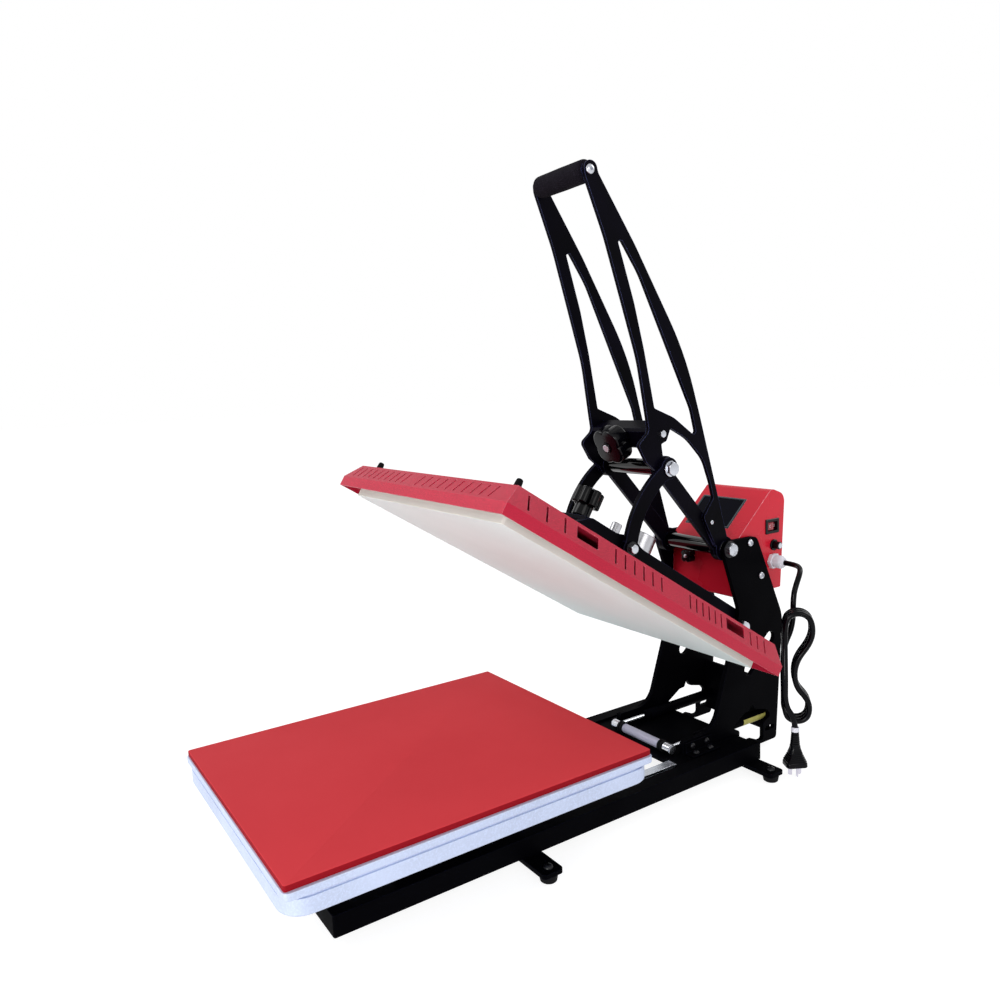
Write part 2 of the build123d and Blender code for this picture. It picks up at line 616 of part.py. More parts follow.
for u0, u1 in ((-160, -122), (142, 184)):
    for side_x in (-1, 1):
        cuts.append(Pos(side_x * (cover_w / 2 - cover_bevel / 2), head_y + (u0 + u1) / 2, face_z + bevel_mid_n + 2)
                    * Rot(0, -side_x * bevel_angle, 0) * Box(12, u1 - u0, 17))
cover -= cuts

post_x = carrier_x + carrier_t / 2
post_us = (-36.0, 150.0)
posts = []
for u in post_us:
    posts.append(both(post(post_x, head_y + u, post_d, face_z + heat_plate_t, face_z + carrier_n)))
    hole = both(post(post_x, head_y + u, post_d + 2 * post_gap, face_z + heat_plate_t, face_z + carrier_n))
    cover -= hole
insulation = Pos(0, head_y, face_z + heat_plate_t) * extrude(
    RectangleRounded(pad_w - 16, pad_l - 16, 8), cover_bend_n - heat_plate_t + 8
)
for u in post_us:
    insulation -= both(post(post_x, head_y + u, post_d + 2 * post_gap, face_z, face_z + carrier_n))

nodes["heat_plate"] = swung(plate)
nodes["insulation"] = swung(insulation)
nodes["cover_shell"] = swung(cover)
nodes["standoffs"] = swung(group(*posts))
peg = Pos(cover_w / 2 - 40, head_y - cover_front + 30, face_z + cover_top_n) * Cone(
    6, 4, 14, align=(Align.CENTER, Align.CENTER, Align.MIN)
)
nodes["cover_pegs"] = swung(both(peg))

carrier_top = carrier_n + carrier_h
bar_corners = [
    (carrier_front_u, carrier_n, 6), (low_pivot_u - 10, carrier_n, 20), (low_pivot_u + 4, carrier_n + 8, 10),
    (low_pivot_u + 4, carrier_top, 10), (link_u + 30, carrier_top, 40), (link_u + 16, carrier_top + 4, 8),
    (link_u - 16, carrier_top + 4, 8), (link_u - 30, carrier_top, 40), (carrier_front_u + 34, carrier_top, 12),
    (carrier_front_u, carrier_n + 24, 12),
]
carrier = yz([(head_y + u, face_z + n, r) for u, n, r in bar_corners], carrier_x, carrier_x + carrier_t)
carrier += disc(low_y, low_z, 2 * carrier_lug_r, carrier_x, carrier_x + carrier_t)
carrier -= disc(low_y, low_z, low_pin_d + 2 * running_gap, carrier_x, carrier_x + carrier_t)
pin_y, pin_z = head(link_u, link_n)
carrier -= disc(pin_y, pin_z, link_pin_d, carrier_x, carrier_x + carrier_t)
nodes["carrier_bars"] = swung(both(carrier))
pin_out = coupler_out + plate_gap
link_pin = disc(pin_y, pin_z, link_pin_d, carrier_x, pin_out)
link_pin += disc(pin_y, pin_z, 21, pin_out, pin_out + washer_t)
link_pin += hexagon(pin_y, pin_z, 13, pin_out + washer_t, pin_out + washer_t + 6)
nodes["link_pins"] = swung(both(link_pin))

clamp_u = 6.0
clamp_nut_h = 9.0
magnet_u = 141.0
magnet_d = 42.0
small_u = 80.0
top_plate = Pos(0, head_y + 85, face_z + carrier_top - carrier_plate_t) * Box(
    2 * carrier_x, 230, carrier_plate_t, align=(Align.CENTER, Align.CENTER, Align.MIN)
)
clamp_d = 10.0
top_plate -= post(0, head_y + clamp_u, clamp_d, face_z + carrier_n, face_z + carrier_top)
nodes["carrier_plate"] = swung(top_plate)
stud_top = face_z + carrier_top + clamp_nut_h + 42
clamp_stud = post(0, head_y + clamp_u, clamp_d, face_z + cover_top_n, stud_top)
nut = Pos(0, head_y + clamp_u, face_z + carrier_top) * extrude(RegularPolygon(11, 6), clamp_nut_h)
nut -= post(0, head_y + clamp_u, clamp_d, face_z + carrier_top, stud_top)
nodes["clamp_stud"] = swung(group(clamp_stud, nut))
knob_base = carrier_top + clamp_nut_h + knob_gap
star = lobed(6, 7.5, 15.0, 15.0, 26)
star = fillet(star.faces().sort_by(Axis.Z)[-1].edges(), 2.5)
star = Pos(0, head_y + clamp_u, face_z + knob_base + 18) * star
star += Pos(0, head_y + clamp_u, face_z + knob_base) * Cylinder(
    14, 18, align=(Align.CENTER, Align.CENTER, Align.MIN)
)
star -= post(0, head_y + clamp_u, clamp_d + 2 * running_gap, face_z + knob_base, stud_top + 5)
nodes["star_knob"] = swung(star)
magnet = post(0, head_y + magnet_u, magnet_d, face_z + carrier_top, face_z + carrier_top + 40)
magnet = chamfer(magnet.faces().sort_by(Axis.Z)[-1].edges(), 2)
small = post(0, head_y + small_u, 17, face_z + carrier_top, face_z + carrier_top + 32)
small = chamfer(small.faces().sort_by(Axis.Z)[-1].edges(), 2)
nodes["head_cylinders"] = swung(group(magnet, small))

# Control box between the side plates
box_half = side_plate_x - box_gap
bx, bz = low_y + box_front_from_low_y, low_z + box_bottom_from_low_z
box_outline = [
    (bx, bz, 3), (bx + 3, bz + 92, 3), (bx + 93, bz + 173, 14), (bx + 127, bz + 160, 18), (bx + 116, bz, 3),
]
shell = yz(box_outline, -box_half, box_half)
hollow = yz([
    (bx + 2, bz + 2, 2), (bx + 4.8, bz + 91, 2), (bx + 93, bz + 170.6, 12), (bx + 124.6, bz + 158.5, 16),
    (bx + 113.8, bz + 2, 2),
], -box_half + box_sheet, box_half - box_sheet)
shell -= hollow
slope = math.degrees(math.atan2(81, 90))
display_at = Pos(-12, bx + 47, bz + 131.6) * Rot(slope, 0, 0)
shell -= display_at * Box(display_w, display_h, 20)
switch_y, switch_z = main_y + 114.6, main_z + 22.7
fuse_y, fuse_z = main_y + 119, main_z - 10
gland_y, gland_z = main_y + 115, main_z - 37
front_knob_y, front_knob_z = bx - 18.0, main_z - 26
shell -= Pos(box_half, switch_y, switch_z) * Box(10, switch_w, switch_h)
shell -= disc(fuse_y, fuse_z, fuse_d, box_half - 8, box_half)
gland_bore = 18.0
shell -= disc(gland_y, gland_z, gland_bore, box_half - 8, box_half)
for y, z in box_bolt_points:
    shell -= both(disc(y, z, box_bolt_d, box_half - 8, box_half))
front_stud_d = 6.0
front_knob_x = -22.0
front_stud = rod(front_knob_x, front_knob_z, front_stud_d, front_knob_y, bx + 4)
shell += front_stud - hollow
nodes["control_box"] = shell
front_knob = lobed(4, 5.5, 6.5, 7.0, 14)
front_knob = fillet(front_knob.faces().sort_by(Axis.Z)[-1].edges(), 1.2)
front_knob -= Cylinder(front_stud_d / 2 + running_gap, 60)
nodes["front_knob"] = Pos(front_knob_x, front_knob_y + 14, front_knob_z) * Rot(90, 0, 0) * Rot(0, 0, 45) * front_knob
box_bolts = []
for y, z in box_bolt_points:
    bolt = disc(y, z, box_bolt_d, box_half - 6, side_plate_out)
    bolt += disc(y, z, 12, side_plate_out, side_plate_out + 4)
    box_bolts.append(both(bolt))
nodes["box_bolts"] = group(*box_bolts)

screen = Box(display_w - 0.4, display_h - 0.4, display_t + 3)
screen += Pos(0, 0, -display_t / 2 - 3) * Box(display_w + 8, display_h + 8, 3)
screen -= Pos(0, 0, display_t / 2 + 1.5) * Box(display_w - 8, display_h - 8, 1.6)
nodes["display"] = display_at * Pos(0, 0, -display_t / 2) * screen

bezel = Box(2, switch_w + 5, switch_h + 5, align=(Align.MIN, Align.CENTER, Align.CENTER))
bezel += Pos(-18, 0, 0) * Box(18, switch_w - 0.4, switch_h - 0.4, align=(Align.MIN, Align.CENTER, Align.CENTER))
rocker_w, rocker_h = switch_w - 5, switch_h - 5
bezel -= Pos(-15, 0, 0) * Box(17, rocker_w, rocker_h, align=(Align.MIN, Align.CENTER, Align.CENTER))
nodes["switch_housing"] = Pos(box_half, switch_y, switch_z) * bezel
rocker_r = 11.2
rocker_tilt = 9.0
rocker_pivot_x = -8.0
rocker = Plane.XZ * make_face(Polyline(
    (-rocker_r + 8.5, -rocker_r + 1.5), (5.4, -rocker_r + 0.6), (8.6, -1.2), (8.6, 1.2), (5.4, rocker_r - 0.6),
    (-rocker_r + 8.5, rocker_r - 1.5), close=True,
))
rocker = Pos(0, rocker_h / 2 - 0.3, 0) * extrude(rocker, rocker_h - 0.6, dir=(0, -1, 0))
rocker += Rot(90, 0, 0) * Cylinder(1.5, rocker_h - 0.2)
rocker_pivot = (box_half + rocker_pivot_x, switch_y, switch_z)
nodes["switch_rocker"] = Pos(*rocker_pivot) * Rot(90, 0, 0) * Rot(0, rocker_tilt, 0) * rocker

fuse = disc(fuse_y, fuse_z, fuse_d - 0.4, box_half - 16, box_half)
fuse += disc(fuse_y, fuse_z, fuse_d + 5, box_half, box_half + 3)
fuse_cap = disc(fuse_y, fuse_z, fuse_d - 1, box_half + 3, box_half + 14)
fuse_cap = chamfer(fuse_cap.faces().sort_by(Axis.X)[-1].edges(), 1)
nodes["fuse_holder"] = fuse + fuse_cap

# Mains lead: gland, free stretch, bundled loops with their tie, plug
cord_d = 9.0
gland_out = box_half + gland_l
gland = hexagon(gland_y, gland_z, gland_hex, box_half, box_half + 8)
gland += disc(gland_y, gland_z, gland_hex - 2, box_half + 8, gland_out - 6)
gland += Pos(gland_out - 6, gland_y, gland_z) * Rot(0, 90, 0) * Cone(
    gland_hex / 2 - 1, gland_hex / 2 - 4, 6, align=(Align.CENTER, Align.CENTER, Align.MIN)
)
gland += disc(gland_y, gland_z, gland_bore - 0.4, box_half - 12, box_half)
nodes["cable_gland"] = gland

bundle_x, bundle_y, bundle_z = 175.0, 363.0, 72.0
bundle_turn = math.radians(48)
loop_pitch = cord_d + 1.5
loop_count = 3


def bundle_point(across, up, layer):
    """Point of the bundle: across its loops, above its lower end, and in a layer towards the press."""
    out = -loop_pitch * layer
    return Vector(
        bundle_x + math.sin(bundle_turn) * across + math.cos(bundle_turn) * out,
        bundle_y + math.cos(bundle_turn) * across - math.sin(bundle_turn) * out,
        bundle_z + up,
    )


class Strand:
    """Chain of arcs, each leaving along the tangent where the last one ends."""

    def __init__(self, start, tangent):
        self.end = start
        self.tangent = tangent
        self.edges = []

    def straight(self, point):
        """Adds a straight run."""
        self.edges.append(Edge.make_line(self.end, point))
        self.tangent = (point - self.end).normalized()
        self.end = point

    def arc(self, point):
        """Adds one arc to the point."""
        edge = Edge.make_tangent_arc(self.end, self.tangent, point)
        self.edges.append(edge)
        self.tangent = edge.tangent_at(1)
        self.end = point

    def shift(self, point):
        """Adds two arcs that end as they began, moved sideways."""
        middle = (self.end + point) * 0.5
        tangent = self.tangent
        self.arc(middle)
        self.arc(point)
        self.tangent = tangent


left_a, right_a, waist_a = -15.0, 26.0, 0.0
lower_a = 22.0
top_up, waist_up, low_up = 169.0, 88.0, 32.0
down, rise = Vector(0, 0, -1), Vector(0, 0, 1)
last_layer = loop_count + 1
entry = bundle_point(0.0, 190.0, last_layer)
strand = Strand(entry, down)
strand.straight(entry + down * cord_d)
strand.shift(bundle_point(left_a, 104.0, last_layer))
layer = last_layer
strand.shift(bundle_point(left_a, low_up, layer - 1))
layer -= 1
for turn in range(loop_count):
    strand.arc(bundle_point((left_a + lower_a) / 2, low_up - (lower_a - left_a) / 2, layer))
    strand.arc(bundle_point(lower_a, low_up, layer))
    strand.tangent = rise
    strand.shift(bundle_point(waist_a, waist_up, layer))
    strand.shift(bundle_point(right_a, top_up, layer))
    strand.arc(bundle_point((left_a + right_a) / 2, top_up + (right_a - left_a) / 2, layer))
    strand.arc(bundle_point(left_a, top_up, layer))
    strand.tangent = down
    run_end = low_up if turn < loop_count - 1 else 54.0
    strand.shift(bundle_point(left_a, run_end, layer - 1))
    layer -= 1
strand.shift(bundle_point(0.0, cord_d, 0))
strand.straight(bundle_point(0.0, 0.0, 0))
hank_wire = Wire(strand.edges)
nodes["cord_hank"] = sweep(Plane(origin=entry, z_dir=down) * Circle(cord_d / 2), path=hank_wire)
print("bundled lead", round(hank_wire.length), "mm, volume over section times length",
      round(nodes["cord_hank"].volume / (math.pi * cord_d ** 2 / 4 * hank_wire.length), 4))

samples = 500
step = hank_wire.length / samples
spots = [hank_wire.position_at(i / samples) for i in range(samples + 1)]
reach = int(3 * cord_d / step) + 1
least = min(
    (spots[i] - spots[j]).length for i in range(samples + 1) for j in range(i + reach, samples + 1)
)
print("least gap of the bundled lead to itself", round(least - cord_d, 2))

route = [
    (gland_out, gland_y, gland_z), (115.9, 440, 321), (133.5, 430, 319.5), (143, 415.5, 313.1),
    (146.5, 402.5, 299.9), (entry.X, entry.Y, 281.8), (entry.X, entry.Y, entry.Z),
]
points = [Vector(*spot) for spot in route]
radii = []
for before, here, after in zip(points, points[1:], points[2:]):
    turn_angle = math.radians((here - before).get_angle(after - here))
    run = min((here - before).length, (after - here).length)
    radii.append(0.45 * run / math.tan(turn_angle / 2))
print("lead radii", [round(r, 1) for r in radii])
lead_path = FilletPolyline(*points, radius=radii)
nodes["cord"] = sweep(Plane(origin=points[0], z_dir=(1, 0, 0)) * Circle(cord_d / 2), path=lead_path)
print("free lead", round(lead_path.length), "mm, volume over section times length",
      round(nodes["cord"].volume / (math.pi * cord_d ** 2 / 4 * lead_path.length), 4))

tie = Pos(bundle_x, bundle_y, bundle_z + 0.5) * Cylinder(6.2, 7.5, align=(Align.CENTER, Align.CENTER, Align.MIN))
tie -= Pos(bundle_x, bundle_y, bundle_z) * Cylinder(cord_d / 2 + 0.15, 20)
nodes["cord_tie"] = tie

plug_top, plug_neck, plug_h = 22.0, 13.0, 34.0
plug_face = bundle_z - plug_top - plug_h
relief = Pos(0, 0, bundle_z - plug_top) * Cone(7.5, 6, plug_top, align=(Align.CENTER, Align.CENTER, Align.MIN))
plug = loft([
    Pos(0, 0, plug_face) * RectangleRounded(26, 34, 6),
    Pos(0, 0, plug_face + 12) * RectangleRounded(25, 32, 6),
    Pos(0, 0, bundle_z - plug_top) * RectangleRounded(14, 15, 5),
])
plug = plug + relief
nodes["plug_body"] = Pos(bundle_x, bundle_y, 0) * Rot(0, 0, -30) * plug
pin_bottom = 1.0
pins = [Pos(0, y, 0) * Rot(0, 0, turn) * block(-0.8, 0.8, -3.2, 3.2, pin_bottom, plug_face)
        for y, turn in ((-8.0, -30), (8.0, 30))]
pins.append(Pos(8, 0, 0) * Rot(0, 0, 90) * block(-0.8, 0.8, -3.2, 3.2, pin_bottom, plug_face))
nodes["plug_pins"] = Pos(bundle_x, bundle_y, 0) * Rot(0, 0, -30) * group(*pins)

os.makedirs("parts", exist_ok=True)
for name, part in nodes.items():
    export_step(part, f"parts/{name}.step")
print(len(nodes), "nodes")
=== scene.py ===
import json
import logging
import math
from dataclasses import dataclass, field
from enum import Enum
from typing import Callable, Sequence

import bmesh
import bpy
import numpy as np
from mathutils import Matrix, Vector

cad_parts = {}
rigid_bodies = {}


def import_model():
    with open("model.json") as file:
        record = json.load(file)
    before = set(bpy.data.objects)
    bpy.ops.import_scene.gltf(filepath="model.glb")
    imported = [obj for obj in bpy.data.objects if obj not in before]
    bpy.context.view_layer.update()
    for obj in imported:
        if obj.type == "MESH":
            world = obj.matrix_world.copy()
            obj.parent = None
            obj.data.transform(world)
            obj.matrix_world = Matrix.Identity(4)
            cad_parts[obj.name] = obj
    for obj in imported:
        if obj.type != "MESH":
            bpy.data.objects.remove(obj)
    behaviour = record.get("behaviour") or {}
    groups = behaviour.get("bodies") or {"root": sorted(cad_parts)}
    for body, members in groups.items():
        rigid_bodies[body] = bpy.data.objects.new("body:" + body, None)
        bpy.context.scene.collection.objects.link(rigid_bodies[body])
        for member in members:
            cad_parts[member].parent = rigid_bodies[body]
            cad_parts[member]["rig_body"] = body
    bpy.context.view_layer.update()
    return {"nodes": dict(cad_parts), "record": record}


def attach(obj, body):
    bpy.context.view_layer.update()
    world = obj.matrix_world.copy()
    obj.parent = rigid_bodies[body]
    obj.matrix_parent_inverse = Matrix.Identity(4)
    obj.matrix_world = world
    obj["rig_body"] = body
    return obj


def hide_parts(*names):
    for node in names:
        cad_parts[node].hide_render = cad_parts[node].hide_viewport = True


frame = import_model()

LOG = logging.getLogger("heat_press")
MM = 0.001
TURN = 2.0 * math.pi
SHARP_ANGLE = math.radians(32)
ROUGHNESS_SPREAD = 0.12
WHITE = (1.0, 1.0, 1.0)
Point = tuple[float, float, float]
Spot = tuple[float, float]
Span = tuple[float, float, float]
Outline = Callable[[np.ndarray], np.ndarray]


class Side(Enum):
    """Side of the press that a piece belongs to."""

    RIGHT = 1.0
    LEFT = -1.0


class Ring(Enum):
    """How the open ends of a carried profile are closed."""

    OPEN = "open"
    BOTH = "both"
    START = "start"
    END = "end"


def metres(*point: float) -> Point:
    """The point in metres, from millimetres."""
    return tuple(value * MM for value in point)


def added(name: str, data: bpy.types.ID) -> bpy.types.Object:
    """Makes an object and puts it in the scene.

    Args:
        name: Name of the object.
        data: Its mesh, curve, camera or lamp.

    Returns:
        The new object.
    """
    made = bpy.data.objects.new(name, data)
    bpy.context.scene.collection.objects.link(made)
    return made


def smooth(mesh: bpy.types.Mesh) -> None:
    """Shades a mesh smooth, apart from the edges that turn further than the sharp angle."""
    mesh.polygons.foreach_set("use_smooth", np.ones(len(mesh.polygons), dtype=bool))
    mesh.set_sharp_from_angle(angle=SHARP_ANGLE)


# Shader groups


class Wiring:
    """Node tree with short calls for adding and joining nodes."""

    def __init__(self, tree: bpy.types.NodeTree) -> None:
        """Keeps the tree.

        Args:
            tree: The node tree that new nodes go into.
        """
        self.tree = tree

    def node(self, kind: str, **settings: object) -> bpy.types.Node:
        """Adds a node.

        Args:
            kind: Blender's name of the node's class.
            **settings: Properties of the node, set as they are.

        Returns:
            The new node.
        """
        made = self.tree.nodes.new(kind)
        for key, value in settings.items():
            setattr(made, key, value)
        return made

    def join(self, source: bpy.types.NodeSocket, target: bpy.types.NodeSocket) -> None:
        """Links an output socket to an input socket."""
        self.tree.links.new(source, target)

    def feed(self, value: object, target: bpy.types.NodeSocket) -> None:
        """Links a socket to an input, or sets the input to a value.

        Args:
            value: Output socket, number or colour.
            target: Input socket.
        """
        if isinstance(value, bpy.types.NodeSocket):
            self.join(value, target)
        else:
            target.default_value = value

    def placed(self, scale: Point = (1.0, 1.0, 1.0)) -> bpy.types.NodeSocket:
        """Object coordinates, stretched along each axis.

        Args:
            scale: Stretch along each axis.

        Returns:
            The vector output.
        """
        where = self.node("ShaderNodeTexCoord")
        mapping = self.node("ShaderNodeMapping")
        mapping.inputs["Scale"].default_value = scale
        self.join(where.outputs["Object"], mapping.inputs["Vector"])
        return mapping.outputs["Vector"]

    def math(self, operation: str, first: object, second: object,
             clamp: bool = False) -> bpy.types.NodeSocket:
        """Adds a Math node on sockets or numbers.

        Args:
            operation: Name of the operation.
            first: First socket or number.
            second: Second socket or number.
            clamp: True to hold the result between 0 and 1.

        Returns:
            The value output.
        """
        made = self.node("ShaderNodeMath", operation=operation, use_clamp=clamp)
        self.feed(first, made.inputs[0])
        self.feed(second, made.inputs[1])
        return made.outputs["Value"]

    def noise(self, start: bpy.types.Node, detail: float, roughness: float = 0.5) -> bpy.types.NodeSocket:
        """Adds noise on a group's Vector and Scale inputs.

        Args:
            start: Input node of the group.
            detail: Number of finer layers.
            roughness: Strength of each finer layer.

        Returns:
            The factor output.
        """
        made = self.node("ShaderNodeTexNoise")
        made.inputs["Detail"].default_value = detail
        made.inputs["Roughness"].default_value = roughness
        self.join(start.outputs["Vector"], made.inputs["Vector"])
        self.join(start.outputs["Scale"], made.inputs["Scale"])
        return made.outputs["Fac"]

    def ranged(self, value: bpy.types.NodeSocket, low: object, high: object) -> bpy.types.NodeSocket:
        """Stretches a value so that low becomes 0 and high becomes 1.

        Args:
            value: Socket to stretch.
            low: Socket or number that becomes 0.
            high: Socket or number that becomes 1.

        Returns:
            The stretched value.
        """
        ramp = self.node("ShaderNodeMapRange")
        self.join(value, ramp.inputs["Value"])
        self.feed(low, ramp.inputs["From Min"])
        self.feed(high, ramp.inputs["From Max"])
        return ramp.outputs["Result"]

    def blend(self, factor: bpy.types.NodeSocket, first: object, second: object) -> bpy.types.NodeSocket:
        """Mixes two colours.

        Args:
            factor: Socket that is 0 for the first colour and 1 for the second.
            first: Socket or colour.
            second: Socket or colour.

        Returns:
            The mixed colour.
        """
        mix = self.node("ShaderNodeMix", data_type="RGBA")
        self.join(factor, mix.inputs["Factor"])
        self.feed(first, mix.inputs["A"])
        self.feed(second, mix.inputs["B"])
        return mix.outputs["Result"]

    def group(self, tree: bpy.types.NodeTree, place: bpy.types.NodeSocket,
              values: dict[str, object]) -> bpy.types.Node:
        """Places a shader group with values of its own.

        Args:
            tree: The group.
            place: Coordinates that it reads.
            values: Value of each input that doesn't keep the group's first value.

        Returns:
            The group's node.
        """
        made = self.node("ShaderNodeGroup", node_tree=tree)
        for title, value in values.items():
            made.inputs[title].default_value = value
        self.join(place, made.inputs["Vector"])
        return made

    def shader(self, kind: str, colour: Point, strength: float | None = None) -> bpy.types.NodeSocket:
        """Adds a shader of one colour.

        Args:
            kind: Blender's name of the shader's class.
            colour: Its linear colour.
            strength: Its strength, where it has one.

        Returns:
            The shader output.
        """
        made = self.node(kind)
        made.inputs["Color"].default_value = (*colour, 1.0)
        if strength is not None:
            made.inputs["Strength"].default_value = strength
        return made.outputs[0]

    def choose(self, factor: bpy.types.NodeSocket, first: bpy.types.NodeSocket,
               second: bpy.types.NodeSocket) -> bpy.types.NodeSocket:
        """Mixes two shaders.

        Args:
            factor: Socket that is 0 for the first shader and 1 for the second.
            first: Output of the first shader.
            second: Output of the second shader.

        Returns:
            The shader output.
        """
        mix = self.node("ShaderNodeMixShader")
        for target, source in zip(mix.inputs, (factor, first, second)):
            self.join(source, target)
        return mix.outputs[0]


def shared_group(name: str, inputs: Sequence[tuple[str, str, object]], outputs: Sequence[tuple[str, str]],
                 fill: Callable[[Wiring, bpy.types.Node, bpy.types.Node], None]) -> bpy.types.NodeTree:
    """Builds a shader node group once.

    Args:
        name: Name of the group.
        inputs: Name, socket type and first value of each input.
        outputs: Name and socket type of each output.
        fill: Function that wires the inside, from the group's input node to its output node.

    Returns:
        The node group.
    """
    group = bpy.data.node_groups.new(name, "ShaderNodeTree")
    for title, kind, value in inputs:
        socket = group.interface.new_socket(title, in_out="INPUT", socket_type=kind)
        socket.default_value = value
    for title, kind in outputs:
        group.interface.new_socket(title, in_out="OUTPUT", socket_type=kind)
    wiring = Wiring(group)
    fill(wiring, wiring.node("NodeGroupInput"), wiring.node("NodeGroupOutput"))
    return group


def fill_grain(w: Wiring, start: bpy.types.Node, end: bpy.types.Node) -> None:
    """Fine grain: noise of a given size, its height and its mask where it is highest.

    Args:
        w: Wiring of the group.
        start: Input node of the group.
        end: Output node of the group.
    """
    height = w.noise(start, 3.0, 0.6)
    w.join(height, end.inputs["Height"])
    w.join(w.ranged(height, start.outputs["From"], start.outputs["To"]), end.inputs["Mask"])


def fill_mottle(w: Wiring, start: bpy.types.Node, end: bpy.types.Node) -> None:
    """Slow variation between two colours, and of a roughness round a middle value.

    Args:
        w: Wiring of the group.
        start: Input node of the group.
        end: Output node of the group.
    """
    slow = w.ranged(w.noise(start, 4.0), 0.3, 0.7)
    w.join(w.blend(slow, start.outputs["Colour A"], start.outputs["Colour B"]), end.inputs["Colour"])
    spread = w.math("MULTIPLY", w.math("SUBTRACT", slow, 0.5), start.outputs["Spread"])
    w.join(w.math("ADD", start.outputs["Roughness"], spread, True), end.inputs["Roughness"])


def fill_edge_highlight(w: Wiring, start: bpy.types.Node, end: bpy.types.Node) -> None:
    """Painted highlight along edges: a lighter colour where a rounded normal leaves the true one, broken up
    by noise.

    Args:
        w: Wiring of the group.
        start: Input node of the group.
        end: Output node of the group.
    """
    softened = w.node("ShaderNodeBevel", samples=6)
    w.join(start.outputs["Radius"], softened.inputs["Radius"])
    turn = w.node("ShaderNodeVectorMath", operation="DOT_PRODUCT")
    w.join(softened.outputs["Normal"], turn.inputs[0])
    w.join(w.node("ShaderNodeNewGeometry").outputs["True Normal"], turn.inputs[1])
    edge = w.ranged(turn.outputs["Value"], 0.99, 0.86)
    patches = w.math("MULTIPLY", w.noise(start, 5.0), 1.6, True)
    broken = w.math("MULTIPLY", edge, patches, True)
    w.join(w.math("MULTIPLY", broken, start.outputs["Amount"], True), end.inputs["Mask"])


def fill_brushed(w: Wiring, start: bpy.types.Node, end: bpy.types.Node) -> None:
    """Fine lines: noise on coordinates that the material stretches, as height and as roughness.

    Args:
        w: Wiring of the group.
        start: Input node of the group.
        end: Output node of the group.
    """
    height = w.noise(start, 2.0)
    w.join(height, end.inputs["Height"])
    low = w.math("SUBTRACT", start.outputs["Roughness"], 0.08)
    rise = w.math("MULTIPLY", w.ranged(height, 0.35, 0.65), 0.16)
    w.join(w.math("ADD", low, rise, True), end.inputs["Roughness"])


VECTOR, VALUE, COLOUR = "NodeSocketVector", "NodeSocketFloat", "NodeSocketColor"
GRAIN = shared_group(
    "fine_grain",
    [("Vector", VECTOR, (0, 0, 0)), ("Scale", VALUE, 900.0), ("From", VALUE, 0.45), ("To", VALUE, 0.65)],
    [("Height", VALUE), ("Mask", VALUE)], fill_grain)
MOTTLE = shared_group(
    "slow_mottle",
    [("Vector", VECTOR, (0, 0, 0)), ("Scale", VALUE, 12.0), ("Colour A", COLOUR, (1, 1, 1, 1)),
     ("Colour B", COLOUR, (1, 1, 1, 1)), ("Roughness", VALUE, 0.5), ("Spread", VALUE, 0.1)],
    [("Colour", COLOUR), ("Roughness", VALUE)], fill_mottle)
# Painted highlight: a lighter colour along edges, mixed into the base colour.
EDGE_HIGHLIGHT = shared_group(
    "painted_edge_highlight",
    [("Vector", VECTOR, (0, 0, 0)), ("Scale", VALUE, 160.0), ("Amount", VALUE, 0.5),
     ("Radius", VALUE, 0.001)],
    [("Mask", VALUE)], fill_edge_highlight)
BRUSHED = shared_group(
    "brushed_lines",
    [("Vector", VECTOR, (0, 0, 0)), ("Scale", VALUE, 60.0), ("Roughness", VALUE, 0.3)],
    [("Height", VALUE), ("Roughness", VALUE)], fill_brushed)


# Finishes


def shade(red: float, green: float, blue: float, factor: float = 1.0) -> tuple[float, float, float, float]:
    """Colour from 0 to 255 sRGB values.

    Args:
        red: Red value.
        green: Green value.
        blue: Blue value.
        factor: Lightening or darkening of the linear colour.

    Returns:
        The linear colour with full alpha.
    """
    values = np.array([red, green, blue]) / 255.0
    linear = np.where(values <= 0.04045, values / 12.92, ((values + 0.055) / 1.055) ** 2.4) * factor
    return (*[float(v) for v in np.clip(linear, 0.0, 1.0)], 1.0)


